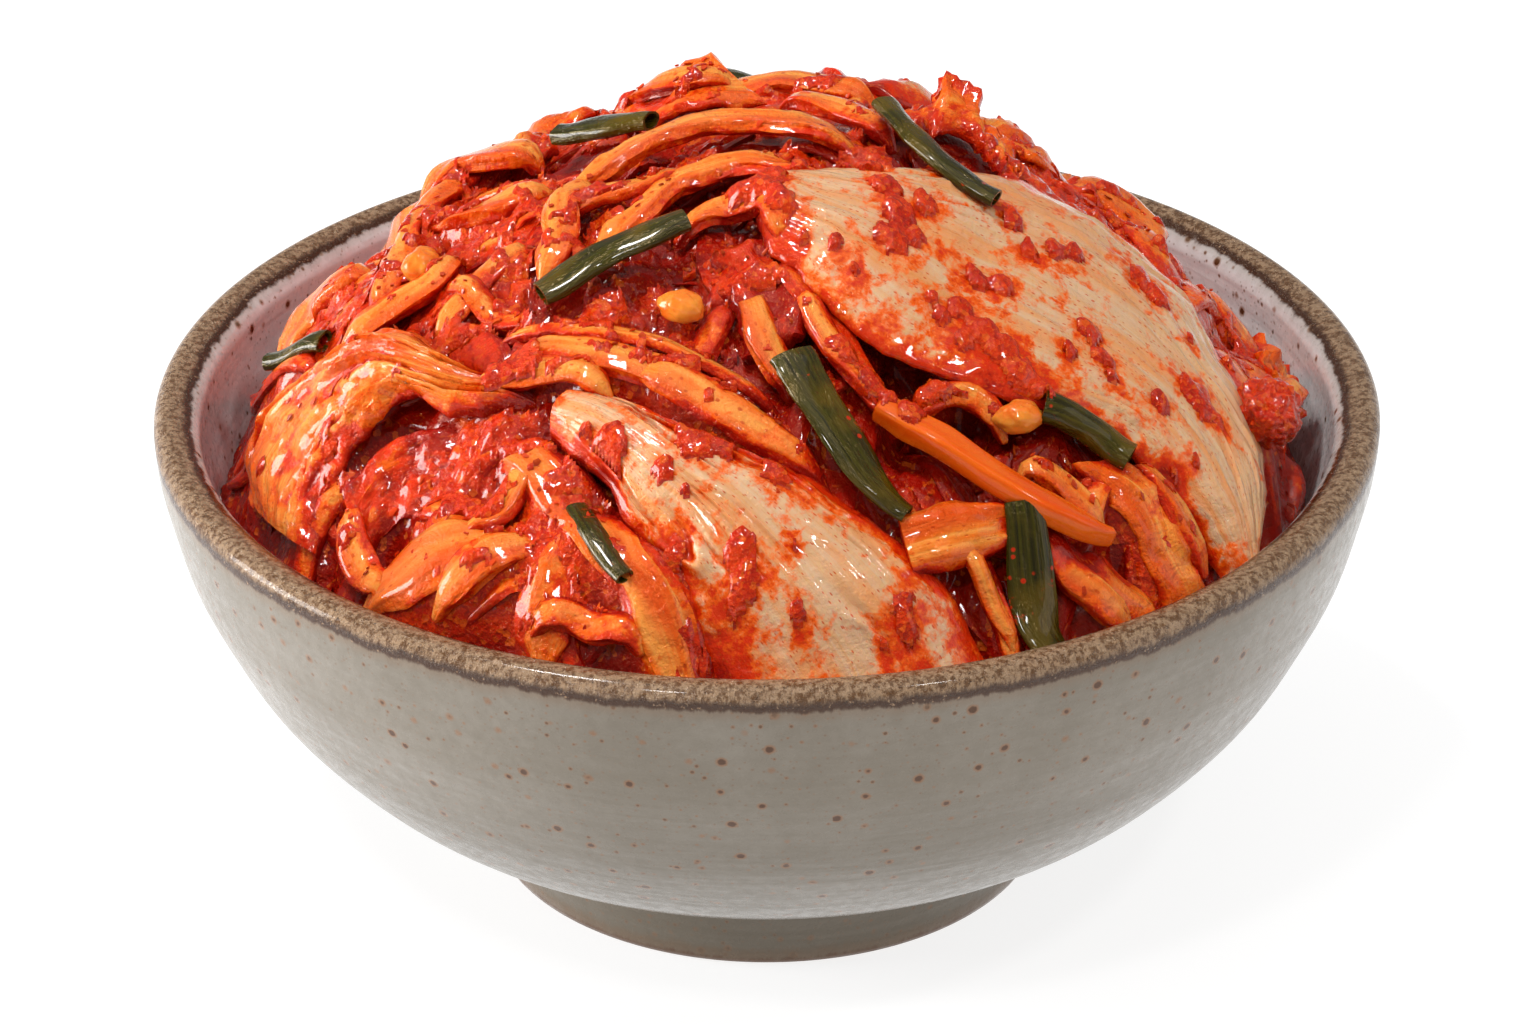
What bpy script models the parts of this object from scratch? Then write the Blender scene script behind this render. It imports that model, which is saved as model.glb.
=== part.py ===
"""Kimchi heaped in a hand-thrown stoneware bowl.

The frame has +Z up and its origin on the table, under the middle of the bowl's foot. The bowl is a turned
shape. It holds one heap of chilli paste and cut cabbage, and the larger pieces lie on that heap one after
another: each is a slab that bends over whatever is already beneath it.

Sizes and places below are in millimetres. Meshes are made in metres.
"""

import math

import bmesh
import bpy
import numpy as np

MM = 0.001
GAP = 0.35  # left between pieces that touch
REACH_OUT = 70.2  # no laid piece comes nearer to the bowl's wall

# The bowl
BOWL_RADIUS = 80.0
BOWL_TURNS = 48  # facets round the bowl
LIP_Z = 64.2  # height of the widest ring
LIP_ROUND = 1.8  # outer edge of the lip
BELLY_Z = 8.5  # height at which the belly's curve would close
BELLY_CURVE = 1.6
BELLY_FULLNESS = 0.285
INNER_RADIUS = 74.0
INNER_TOP_Z = 62.5
FLOOR_Z = 14.5
FOOT_RADIUS = 37.5
FOOT_TOP_RADIUS = 38.6
FOOT_INNER_RADIUS = 33.0
FOOT_RECESS = 6.5

# The heap
HEAP_RADIUS = 70.6  # where its top meets the bowl's wall
HEAP_EDGE_Z = 51.0
HEAP_LEAN = 2.5  # the edge lies higher on the left than on the right
HEAP_DIPS = (math.radians(152), math.radians(41))  # where the edge sinks and leaves the wall bare
DIP_DEPTH = 4.0
DIP_HALF_ANGLE = 0.35
HEAP_TOP_Z = 95.0
HEAP_PEAK = (2.0, 7.0)
HEAP_FULLNESS = 0.85
HEAP_TURNS = 40
HEAP_RINGS = (1.0, 0.9, 0.78, 0.66, 0.55, 0.44, 0.33, 0.22, 0.11, 0.0)  # shares of its radius

# The laid pieces
CELL = 1.0  # of the grid on which the pile keeps its height
SOFTEN_ROUNDS = 4  # how often a slab's underside is smoothed
EDGE_THICK = 0.6  # a slab's thickness at its edges
EDGE_FALL = 1.8  # how early a slab thins towards its sides
LEAST_BULGE = 0.08  # share of the bulge left at the sides
END_BULGE = 0.55  # share of the bulge left at the two ends


def material(name, colour, roughness):
    """A Principled material of one colour."""
    made = bpy.data.materials.get(name)
    if made:
        return made
    made = bpy.data.materials.new(name)
    made.use_nodes = True
    made.diffuse_color = (*colour, 1)
    shader = made.node_tree.nodes["Principled BSDF"]
    shader.inputs["Base Color"].default_value = (*colour, 1)
    shader.inputs["Roughness"].default_value = roughness
    shader.inputs["Metallic"].default_value = 0.0
    return made


FINISHES = {
    "stoneware": ((0.55, 0.52, 0.47), 0.35),
    "chilli_paste": ((0.50, 0.03, 0.01), 0.25),
    "cabbage_rib": ((0.80, 0.52, 0.30), 0.30),
    "cabbage_leaf": ((0.75, 0.24, 0.05), 0.30),
    "carrot": ((0.85, 0.20, 0.01), 0.30),
    "scallion": ((0.03, 0.08, 0.02), 0.30),
    "nut": ((0.85, 0.35, 0.08), 0.30),
}


def add_object(name, mesh, finish, collection):
    """Link a mesh as a node of the part."""
    made = bpy.data.objects.new(name, mesh)
    made.data.materials.clear()
    made.data.materials.append(material(finish, *FINISHES[finish]))
    made.data.shade_smooth()
    made.data.set_sharp_from_angle(angle=math.radians(50))
    collection.objects.link(made)
    return made


def profile_mesh(name, points):
    """An open profile in the XZ plane, ready for a Screw modifier."""
    mesh = bpy.data.meshes.new(name)
    verts = [(r * MM, 0, z * MM) for r, z in points]
    edges = [(i, i + 1) for i in range(len(points) - 1)]
    mesh.from_pydata(verts, edges, [])
    return mesh


def turn(made, steps):
    """Turn an object's profile once round Z."""
    screw = made.modifiers.new("Turn", "SCREW")
    screw.steps = steps
    screw.render_steps = steps
    screw.use_merge_vertices = True
    screw.merge_threshold = 0.00005
    return screw


def side_radius(z, top_radius, top_z, base_z):
    """Radius of a thrown wall at height z: full near its floor, upright at its top."""
    t = np.clip((z - base_z) / (top_z - base_z), 0, 1)
    return top_radius * (1 - (1 - t) ** BELLY_CURVE) ** BELLY_FULLNESS


def inner_radius(z):
    return side_radius(z, INNER_RADIUS, INNER_TOP_Z, FLOOR_Z)


def arc(centre, radii, start, end, count):
    """Points along part of an ellipse, angles in degrees from +X."""
    angles = np.radians(np.linspace(start, end, count))
    return [(centre[0] + radii[0] * math.cos(a), centre[1] + radii[1] * math.sin(a)) for a in angles]


def bowl_profile():
    """From the middle of the floor up the inside, over the lip, down the outside and under the foot."""
    heights = FLOOR_Z + (INNER_TOP_Z - FLOOR_Z) * np.array([0.006, 0.03, 0.1, 0.25, 0.5, 0.78])
    inside = [(float(inner_radius(z)), float(z)) for z in heights]
    crest_r = BOWL_RADIUS - LIP_ROUND
    crest_z = LIP_Z + LIP_ROUND
    inner_half = (crest_r - INNER_RADIUS, crest_z - INNER_TOP_Z)
    inner_lip = arc((crest_r, INNER_TOP_Z), inner_half, 180, 90, 5)
    outer_lip = arc((crest_r, LIP_Z), (LIP_ROUND, LIP_ROUND), 90, 0, 4)
    heights = BELLY_Z + (LIP_Z - BELLY_Z) * np.array([0.75, 0.52, 0.32, 0.18, 0.09, 0.052])
    outside = [(float(side_radius(z, BOWL_RADIUS, LIP_Z, BELLY_Z)), float(z)) for z in heights]
    foot = [
        (FOOT_TOP_RADIUS, BELLY_Z),
        (FOOT_RADIUS, 1.0),
        (FOOT_RADIUS - 0.8, 0.0),
        (FOOT_INNER_RADIUS + 0.6, 0.0),
        (FOOT_INNER_RADIUS - 1.0, FOOT_RECESS - 1.0),
        (FOOT_INNER_RADIUS - 3.0, FOOT_RECESS),
    ]
    wall = inside + inner_lip[:-1] + outer_lip + outside
    return [(0.0, FLOOR_Z)] + wall + foot + [(0.0, FOOT_RECESS)]


def make_bowl(collection):
    made = add_object("bowl", profile_mesh("bowl", bowl_profile()), "stoneware", collection)
    turn(made, BOWL_TURNS)
    return made


def heap_height(x, y):
    """Height of the heap's top at a place, highest at its peak and falling to the bowl's wall."""
    r = np.clip(np.hypot(x, y) / HEAP_RADIUS, 0, 1)
    lean = 1 - r
    rho = np.hypot(x - HEAP_PEAK[0] * lean, y - HEAP_PEAK[1] * lean) / HEAP_RADIUS
    rise = np.clip(1 - rho**2, 0, 1) ** HEAP_FULLNESS
    uneven = np.sin(x / 8.5 + 1.0) * np.cos(y / 7.5) * (0.4 + rise)
    angle = np.arctan2(y, x)
    edge = HEAP_EDGE_Z + 1.2 * np.sin(3 * angle + 1.0) - HEAP_LEAN * np.cos(angle)
    for middle in HEAP_DIPS:
        edge = edge - DIP_DEPTH * np.exp(-(((angle - middle) / DIP_HALF_ANGLE) ** 2))
    return edge + (HEAP_TOP_Z - edge) * rise + 0.6 * uneven


def make_heap(collection):
    """The heap: a turned shape whose top is then raised to its uneven height."""
    heights = FLOOR_Z + (HEAP_EDGE_Z - FLOOR_Z) * np.array([0.02, 0.12, 0.32, 0.55, 0.75])
    wall = [(float(inner_radius(z)) - 2 * GAP - 0.6, float(z) + GAP + 0.4) for z in heights]
    top = [(HEAP_RADIUS * f, HEAP_TOP_Z) for f in HEAP_RINGS]
    # The profile runs down its outer side, so the turned faces point out.
    points = top[::-1] + wall[::-1] + [(0.0, FLOOR_Z + 3 * GAP)]
    made = add_object("kimchi_heap", profile_mesh("kimchi_heap", points), "chilli_paste", collection)
    turn(made, HEAP_TURNS)
    mesh = bpy.data.meshes.new_from_object(made.evaluated_get(bpy.context.evaluated_depsgraph_get()))
    for vertex in mesh.vertices:
        if vertex.co.z > (HEAP_TOP_Z - 1) * MM:
            x, y = vertex.co.x / MM, vertex.co.y / MM
            z = float(heap_height(x, y))
            inside = min(1, (float(inner_radius(z)) - 2 * GAP) / max(math.hypot(x, y), GAP))
            vertex.co = (x * inside * MM, y * inside * MM, z * MM)
    made.modifiers.clear()
    made.data = mesh
    return made


class Pile:
    """The height of everything laid so far, on a square grid over the bowl."""

    def __init__(self):
        self.axis = np.arange(-BOWL_RADIUS, BOWL_RADIUS + CELL, CELL)
        x, y = np.meshgrid(self.axis, self.axis, indexing="ij")
        self.heap = heap_height(x, y)
        self.top = self.heap.copy()

    def cell(self, x, y):
        last = len(self.axis) - 1
        i = np.clip(np.rint((x - self.axis[0]) / CELL).astype(int), 0, last)
        j = np.clip(np.rint((y - self.axis[0]) / CELL).astype(int), 0, last)
        return i, j

    def under(self, x, y):
        """The heap's height at rows of places, raised by the thickest that lies on it near each."""
        i, j = self.cell(x, y)
        last = len(self.axis) - 1
        laid = self.top - self.heap
        found = laid[i, j]
        spacing = max(np.hypot(np.diff(x, axis=k), np.diff(y, axis=k)).max() for k in (0, 1))
        reach = math.ceil(0.5 * spacing / CELL)
        for di in range(-reach, reach + 1):
            for dj in range(-reach, reach + 1):
                found = np.maximum(found, laid[np.clip(i + di, 0, last), np.clip(j + dj, 0, last)])
        return heap_height(x, y) + found

    def support(self, place, half):
        """How low the middle of an ellipsoid can lie at a place before it touches the pile."""
        ring, angle = np.meshgrid(np.linspace(0, 0.98, 8), np.linspace(0, 2 * math.pi, 24))
        i, j = self.cell(place[0] + half[0] * ring * np.cos(angle), place[1] + half[1] * ring * np.sin(angle))
        return float((self.top[i, j] + half[2] * np.sqrt(1 - ring**2)).max())

    def cover(self, x, y, z):
        """Raise the pile to a laid surface, given as rows of points."""
        steps = np.linspace(0, 1, 9)[:-1]
        for a in steps:
            for b in steps:
                px, py, pz = (
                    (1 - a) * (1 - b) * g[:-1, :-1]
                    + a * (1 - b) * g[1:, :-1]
                    + (1 - a) * b * g[:-1, 1:]
                    + a * b * g[1:, 1:]
                    for g in (x, y, z)
                )
                np.maximum.at(self.top, self.cell(px, py), pz)


def through(points, count):
    """A smooth curve through two or more places, as count points."""
    points = np.array(points, float)
    ends = (2 * points[0] - points[1], 2 * points[-1] - points[-2])
    p = np.vstack([ends[0], points, ends[1]])
    t = np.linspace(0, len(points) - 1, count)
    k = np.minimum(t.astype(int), len(points) - 2)
    f = (t - k)[:, None]
    a, b, c, d = p[k], p[k + 1], p[k + 2], p[k + 3]
    return 0.5 * (2 * b + (c - a) * f + (2 * a - 5 * b + 4 * c - d) * f**2 + (3 * b - 3 * c + d - a) * f**3)


def soften(z, rounds):
    """Smooth a slab's underside without letting it sink into what it lies on."""
    floor = z.copy()
    for _ in range(rounds):
        wide = np.pad(z, 1, mode="edge")
        mean = (wide[:-2, 1:-1] + wide[2:, 1:-1] + wide[1:-1, :-2] + wide[1:-1, 2:]) / 4
        z = np.maximum(floor, mean)
    return z


def lay(pile, name, finish, places, widths, thick, collection, along=7, across=2, ends=0.6):
    """Lay one slab on the pile.

    places are what its middle line passes over, widths its width from start to end, and thick its thickness
    in the middle. ends is how much of its width is left at its two ends.
    """
    u = np.linspace(0, 1, along + 1)
    middle = through(places, along + 1)
    heading = np.gradient(middle, axis=0)
    heading /= np.linalg.norm(heading, axis=1, keepdims=True)
    side = np.stack([-heading[:, 1], heading[:, 0]], 1)
    width = np.interp(u, np.linspace(0, 1, len(widths)), widths)
    width[[0, -1]] *= ends
    v = np.linspace(-0.5, 0.5, across + 1)
    x = middle[:, None, 0] + side[:, None, 0] * width[:, None] * v
    y = middle[:, None, 1] + side[:, None, 1] * width[:, None] * v
    inside = np.minimum(1, REACH_OUT / np.hypot(x, y))
    x, y = x * inside, y * inside
    bulge_across = np.sqrt(np.clip(1 - (EDGE_FALL * v) ** 2, LEAST_BULGE, 1))
    bulge_along = END_BULGE + (1 - END_BULGE) * np.sqrt(np.clip(np.sin(np.pi * u), 0, 1))
    under = soften(pile.under(x, y) + GAP, SOFTEN_ROUNDS)
    top = under + EDGE_THICK + (thick - EDGE_THICK) * bulge_along[:, None] * bulge_across
    pile.cover(x, y, top)

    slab = bmesh.new()
    bmesh.ops.create_grid(slab, x_segments=along, y_segments=across, size=0.5)
    raised = bmesh.ops.extrude_face_region(slab, geom=slab.faces[:])["geom"]
    upper = {vert for vert in raised if isinstance(vert, bmesh.types.BMVert)}
    for vert in slab.verts:
        i = round((vert.co.x + 0.5) * along)
        j = round((vert.co.y + 0.5) * across)
        z = top[i, j] if vert in upper else under[i, j]
        vert.co = (x[i, j] * MM, y[i, j] * MM, z * MM)
    bmesh.ops.recalc_face_normals(slab, faces=slab.faces)
    mesh = bpy.data.meshes.new(name)
    slab.to_mesh(mesh)
    slab.free()
    return add_object(name, mesh, finish, collection)


def drop(pile, name, finish, place, size, collection, turned=0.0, rings=6):
    """Set one round piece, such as a nut, on the pile. size is its length, width and height."""
    half = np.array(size) / 2
    z = pile.support(place, half) + 2 * GAP
    ball = bmesh.new()
    bmesh.ops.create_uvsphere(ball, u_segments=rings * 2, v_segments=rings, radius=1)
    for vert in ball.verts:
        along, aside = vert.co.x * half[0], vert.co.y * half[1]
        cos, sin = math.cos(turned), math.sin(turned)
        px = place[0] + along * cos - aside * sin
        py = place[1] + along * sin + aside * cos
        pz = z + half[2] * vert.co.z
        vert.co = (px * MM, py * MM, pz * MM)
    mesh = bpy.data.meshes.new(name)
    ball.to_mesh(mesh)
    ball.free()
    square = half[:2].max() * np.mgrid[-1:1.01:0.1, -1:1.01:0.1]
    i, j = pile.cell(place[0] + square[0], place[1] + square[1])
    np.maximum.at(pile.top, (i, j), np.full(i.shape, z + half[2]))
    return add_object(name, mesh, finish, collection)


LEAF = "cabbage_leaf"
RIB = "cabbage_rib"
CARROT = "carrot"
SCALLION = "scallion"
NUT = "nut"
PASTE = "chilli_paste"
# Each row is a slab: name, finish, places passed over, widths, thickness, then what differs from lay's
# defaults. The rows are laid in this order.
LOWER = [
    ("leaf_back_left", LEAF, [(-47, 14), (-40, 30), (-26, 43)], [14, 20, 16], 3.5, dict(across=4)),
    ("leaf_back", LEAF, [(-22, 38), (-6, 50), (10, 56)], [16, 22, 14], 3.5, dict(across=4)),
    ("rib_back", RIB, [(10, 36), (20, 46), (28, 60)], [16, 24, 20], 5, dict(along=9, across=4)),
    ("leaf_back_right", LEAF, [(30, 22), (39, 32), (40, 42)], [12, 16, 10], 3.5, dict(across=4)),
    ("strip_far_left", LEAF, [(-63, 4), (-53, 7)], [6, 6], 4.5, dict(along=5)),
    ("strip_left_high", LEAF, [(-45, 10), (-37, 4), (-28, 4)], [4, 5, 4], 3.5, {}),
    ("strip_left_low", LEAF, [(-41, -19), (-36, -14), (-30, -9)], [4, 4.5, 4], 3.5, {}),
    ("leaf_lower_left", LEAF, [(-52, -38), (-45, -38), (-36, -40)], [9, 12, 8], 3, dict(across=4)),
    ("strip_low_1", LEAF, [(-49, -49), (-39, -50), (-27, -52)], [4.5, 5, 4], 3.5, {}),
    ("strip_low_2", LEAF, [(-40, -56), (-32, -55), (-25, -53)], [4, 4, 4], 3, dict(along=4)),
    ("strip_low_3", LEAF, [(-27, -63), (-26, -59), (-23, -53)], [4.5, 5, 4], 3.2, dict(along=5)),
    ("strip_low_4", LEAF, [(-31, -41), (-21, -53), (-13, -64), (-10, -68)], [5, 5, 5, 5], 3.5, {}),
    ("strip_right_1", LEAF, [(26, -54), (30, -61)], [4, 4], 3, dict(along=4)),
    ("strip_right_2", LEAF, [(38, -49), (47, -51)], [5, 5], 3.2, dict(along=4)),
    ("leaf_lower_right", LEAF, [(41, -40), (47, -43), (52, -46)], [9, 12, 8], 3, dict(across=4)),
    ("strip_middle_1", LEAF, [(-33, -30), (-20, -35), (-9, -40), (2, -46)], [4, 5, 5, 4], 3.5, {}),
    ("strip_middle_2", LEAF, [(-16, -38), (-5, -44), (7, -50)], [4, 5, 4], 3.2, {}),
]
UPPER = [
    ("rib_front", RIB, [(-24, -39), (-14, -47), (-3, -56), (9, -65)], [6, 16, 24, 30], 5,
     dict(along=12, across=6, ends=0.85)),
    ("leaf_left", LEAF, [(-62, -24), (-56, -21), (-48, -24), (-41, -31), (-32, -35)], [14, 14, 11, 8, 5], 4,
     dict(along=10, across=4)),
    ("leaf_middle", LEAF, [(-4, -20), (0, -28), (1, -35)], [8, 9, 8], 4, dict(across=3)),
    ("strip_curved", LEAF, [(1, -22), (8, -32), (16, -43)], [4, 5, 4], 3.5, {}),
    ("strip_fold", LEAF, [(17, -57), (25, -55), (33, -50)], [5, 6, 4], 3.2, {}),
    ("rib_right", RIB, [(0, -13), (12, -18), (28, -18), (46, -18), (60, -33)], [8, 28, 42, 38, 14], 4,
     dict(along=12, across=8, ends=0.7)),
    ("strip_right_high", LEAF, [(40, 27), (46, 26), (52, 20)], [5, 6, 5], 3.5, {}),
    ("leaf_right_edge", LEAF, [(65, 22), (67, 11), (67, 1)], [5, 6, 5], 3, dict(along=5)),
    ("strip_top_1", LEAF, [(-25, -1), (-14, 3), (-2, 4), (12, 0)], [4, 4.5, 4.5, 4], 4, dict(along=9)),
    ("strip_top_2", LEAF, [(-22, -17), (-12, -7), (8, -10)], [4, 5, 4], 3.5, {}),
    ("leaf_peak", LEAF, [(-18, 20), (-11, 20), (-4, 20)], [10, 10, 8], 5, dict(across=3)),
    ("leaf_crest", LEAF, [(15, 12), (24, 14), (33, 5)], [6, 9, 7], 4, dict(across=3)),
    ("strip_crest", LEAF, [(-45, 20), (-38, 21), (-30, 17)], [5, 6, 5], 4, dict(along=5)),
    ("strip_back_1", LEAF, [(-12, 34), (2, 36), (14, 30)], [5, 6, 5], 3.5, {}),
    ("carrot_strip", CARROT, [(14, -42), (27, -48), (42, -49)], [4.5, 5, 4], 3.5, dict(ends=0.7)),
    ("scallion_1", SCALLION, [(-28, -25), (-20, -22), (-10, -19)], [5, 5, 5], 2.6, dict(ends=1)),
    ("scallion_2", SCALLION, [(-27, 17), (-22, 13), (-15, 9)], [4, 5, 4], 2.6, dict(along=5, ends=1)),
    ("scallion_3", SCALLION, [(15, 7), (21, -4), (29, -10)], [4, 4, 4], 2.4, dict(ends=1)),
    ("scallion_4", SCALLION, [(3, -39), (9, -47), (17, -54)], [6.6, 6.4, 4], 2.4, dict(ends=1)),
    ("scallion_5", SCALLION, [(34, -37), (45, -38)], [5, 5], 3.5, dict(along=5, ends=1)),
    ("scallion_6", SCALLION, [(-23, -51), (-20, -58), (-17, -63)], [3.5, 4, 3], 2.2, dict(along=5, ends=1)),
    ("scallion_7", SCALLION, [(31, -51), (34, -60)], [6, 6], 2.4, dict(along=5, ends=1)),
    ("scallion_8", SCALLION, [(-65, -1), (-57, -6)], [4, 4], 2.4, dict(along=4, ends=1)),
    ("scallion_9", SCALLION, [(-8, 44), (4, 47)], [5, 5], 2.6, dict(along=5, ends=1)),
]
# Each row is a round piece: name, finish, place, then its length, width and height, and how far it is turned.
ROUND = [
    ("nut_1", NUT, (-44, -5), (5.4, 5.2, 4.8), 0.3),
    ("nut_2", NUT, (-10.5, -30), (6.4, 4.2, 4.0), -0.5),
    ("nut_3", NUT, (31, -38.5), (6.4, 4.4, 4.0), 0.2),
    ("paste_lump", PASTE, (64, -16), (8.0, 9.0, 8.0), 0.0),
]


def main():
    for old in list(bpy.data.objects):
        bpy.data.objects.remove(old, do_unlink=True)
    collection = bpy.data.collections.new("kimchi_bowl")
    bpy.context.scene.collection.children.link(collection)
    make_bowl(collection)
    make_heap(collection)
    pile = Pile()
    for name, finish, places, widths, thick, more in LOWER + UPPER:
        lay(pile, name, finish, places, widths, thick, collection, **more)
    for name, finish, place, size, turned in ROUND:
        drop(pile, name, finish, place, size, collection, turned)


main()
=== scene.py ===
"""The looks of a bowl of kimchi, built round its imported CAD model.

Everything is worked out in millimetres, in the CAD model's frame, and turned into metres when a mesh
is made. The heap is laid as it was in the CAD model, piece after piece on a height grid, but each piece
now has its real section, ridges and frills. Chilli paste then settles into the grid's hollows.
"""

import math

import bpy
import numpy as np
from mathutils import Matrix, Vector


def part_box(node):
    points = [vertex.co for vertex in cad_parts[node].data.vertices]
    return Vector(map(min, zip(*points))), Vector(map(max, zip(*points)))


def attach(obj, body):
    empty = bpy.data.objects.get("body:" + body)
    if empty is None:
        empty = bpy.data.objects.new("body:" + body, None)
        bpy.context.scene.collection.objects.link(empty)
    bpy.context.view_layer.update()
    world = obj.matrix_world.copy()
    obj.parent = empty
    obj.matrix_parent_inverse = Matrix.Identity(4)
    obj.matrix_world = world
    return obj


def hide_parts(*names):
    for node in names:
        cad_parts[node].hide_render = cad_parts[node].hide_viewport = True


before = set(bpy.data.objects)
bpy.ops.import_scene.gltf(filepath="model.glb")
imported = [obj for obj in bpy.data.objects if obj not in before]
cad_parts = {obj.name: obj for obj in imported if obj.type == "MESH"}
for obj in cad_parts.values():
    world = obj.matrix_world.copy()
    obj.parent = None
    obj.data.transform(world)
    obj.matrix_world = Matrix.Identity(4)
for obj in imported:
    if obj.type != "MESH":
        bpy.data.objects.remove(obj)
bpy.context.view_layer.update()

MM = 0.001

BOWL_HIGH = np.array(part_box("bowl")[1]) / MM
BOWL_RADIUS = float(BOWL_HIGH[0])
BOWL_RIM_Z = float(BOWL_HIGH[2])
LIP_ROUND = 1.8
LIP_Z = BOWL_RIM_Z - LIP_ROUND
BELLY_Z = 8.5
BELLY_CURVE = 1.6
BELLY_FULLNESS = 0.285
INNER_RADIUS = 74.0
INNER_TOP_Z = 62.5
FLOOR_Z = 14.5
FOOT_RADIUS = 37.5
FOOT_TOP_RADIUS = 38.6
FOOT_INNER_RADIUS = 33.0
FOOT_RECESS = 6.5

HEAP_RADIUS = 70.6
HEAP_EDGE_Z = 51.0
HEAP_TOP_Z = 95.0
HEAP_PEAK = (2.0, 7.0)
HEAP_FULLNESS = 0.85
HEAP_LEAN = 2.5
HEAP_DIPS = (math.radians(152), math.radians(41))
DIP_DEPTH = 4.0
DIP_HALF_ANGLE = 0.35
HEAP_WAVES = (8.5, 7.5)  # how long the heap's swellings are, across and away
CORE_DEPTH = 1.0  # the small cuts start this far under the CAD heap's top

STRIP_WIDER = 1.25
STRIP_FLATTER = 0.85
ROCKING = 0.5  # how far a strip rocks from side to side along its length
CAP_REACH = 0.3  # how far a strip's rounded end stands out
CAP_SHARE = 0.8

SMALL_LAYERS = 2
SMALL_IN_LAYER = 185
SMALL_STRIPS = 0.66  # the share of the small cuts that are strips, where the rest are leaf
GOLDEN_ANGLE = 2.39996
SCATTER_RADIUS = 68.0
SCATTER_EDGE = 69.5

CORE_GRID = 281
CORE_SINK = 1.25  # how far the paste settles below the small cuts
CORE_SKIRT = (0.25, 0.55, 0.85, 0.985)
CORE_BASE_Z = FLOOR_Z + 0.2
WALL_GAP = 0.25
BLOB_SWELL = 0.62
SMEAR_EDGE = 0.12
STEEPEST = 3.2  # paste slides off anything steeper
SMEAR_DEPTH = 0.9
FLAKES = 1100
FLAKE_THICK = 0.2

# How much paste stays on each kind of piece, and on the open heap.
PASTE_ON = {"rib": -1.5, "carrot": -1.5, "scallion": -0.9}
PASTE_ELSEWHERE = -0.42
PASTE_ON_HEAP = -0.06
# How much redder a piece is for each millimetre that it lies low, in a hollow, and beside a blob.
# Lying low and in a hollow redden a piece partly as paste stain and partly as painted shade; beside a blob
# is paste stain only.
RIB_STAIN_AND_SHADE = 0.20
LOW_STAIN_AND_SHADE = 0.52
HOLLOW_STAIN_AND_SHADE = 0.14
BLOB_STAIN = 0.62

RED_ORANGE = (0.76, 0.105, 0.003)
RED = (0.58, 0.022, 0.001)
DEEP_RED = (0.30, 0.004, 0.001)

BOWL_TURNS = 240
WORLD_LIGHT = 0.24
FLOOR_GLOW = 0.82
# Name, place, aim, size and power, in metres and watts.
LIGHTS = [
    ("key", (-0.28, 0.00, 0.94), (0, 0, 0.06), 0.14, 4.8),
    ("sparkle", (-0.22, -0.60, 0.80), (0, 0, 0.06), 0.09, 1.7),
    ("glint", (0.34, -0.45, 0.80), (0, 0, 0.06), 0.08, 1.3),
    ("top", (0.0, 0.0, 1.6), (0, 0, 0.0), 1.5, 5.0),
    ("left", (-0.90, 0.02, 0.20), (0, 0, 0.05), 0.40, 9.5),
    ("right", (0.90, -0.20, 0.40), (0, 0, 0.05), 0.60, 1.2),
]
CAMERA_ELEVATION = math.radians(28.25)
CAMERA_DISTANCE = 0.700
CAMERA_TARGET = (0.0002, 0.0, 0.047)
CAMERA_LENS = 123.9


# ---------------------------------------------------------------- noise

class Noise:
    """Smooth noise from -1 to 1, about one bump to each unit."""

    def __init__(self, seed):
        draw = np.random.default_rng(seed)
        self.order = draw.permutation(256)
        self.value = draw.uniform(-1, 1, 256)

    def __call__(self, x, y, z=0.0):
        places = np.broadcast_arrays(*(np.asarray(a, float) for a in (x, y, z)))
        cells = [np.floor(a).astype(int) for a in places]
        parts = [a - c for a, c in zip(places, cells)]
        eased = [t * t * t * (t * (6 * t - 15) + 10) for t in parts]
        total = 0.0
        for corner in np.ndindex(2, 2, 2):
            key = 0
            weight = 1.0
            for step, cell, ease in zip(corner, cells, eased):
                key = self.order[(key + cell + step) & 255]
                weight = weight * (ease if step else 1 - ease)
            total = total + weight * self.value[key]
        return total


NOISES = [Noise(seed) for seed in range(8)]


def fbm(x, y, z=0.0, octaves=3, first=0):
    """Layers of noise, each half as large and twice as fine as the one before."""
    total = 0.0
    for k in range(octaves):
        total = total + NOISES[(first + k) % 8](x * 2**k, y * 2**k, z * 2**k) / 2**k
    return total


def smoothstep(low, high, x):
    t = np.clip((x - low) / (high - low), 0, 1)
    return t * t * (3 - 2 * t)


# ---------------------------------------------------------------- the CAD model's shapes

def side_radius(z, top_radius, top_z, base_z):
    """Radius of a thrown wall at height z."""
    t = np.clip((z - base_z) / (top_z - base_z), 0, 1)
    return top_radius * (1 - (1 - t) ** BELLY_CURVE) ** BELLY_FULLNESS


def inner_radius(z):
    return side_radius(z, INNER_RADIUS, INNER_TOP_Z, FLOOR_Z)


def heap_height(x, y):
    """The CAD heap's top."""
    r = np.clip(np.hypot(x, y) / HEAP_RADIUS, 0, 1)
    lean = 1 - r
    rho = np.hypot(x - HEAP_PEAK[0] * lean, y - HEAP_PEAK[1] * lean) / HEAP_RADIUS
    rise = np.clip(1 - rho**2, 0, 1) ** HEAP_FULLNESS
    uneven = np.sin(x / HEAP_WAVES[0] + 1.0) * np.cos(y / HEAP_WAVES[1]) * (0.4 + rise)
    angle = np.arctan2(y, x)
    edge = HEAP_EDGE_Z + 1.2 * np.sin(3 * angle + 1.0) - HEAP_LEAN * np.cos(angle)
    for middle in HEAP_DIPS:
        edge = edge - DIP_DEPTH * np.exp(-(((angle - middle) / DIP_HALF_ANGLE) ** 2))
    return edge + (HEAP_TOP_Z - edge) * rise + 0.6 * uneven


# ---------------------------------------------------------------- the pile

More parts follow.
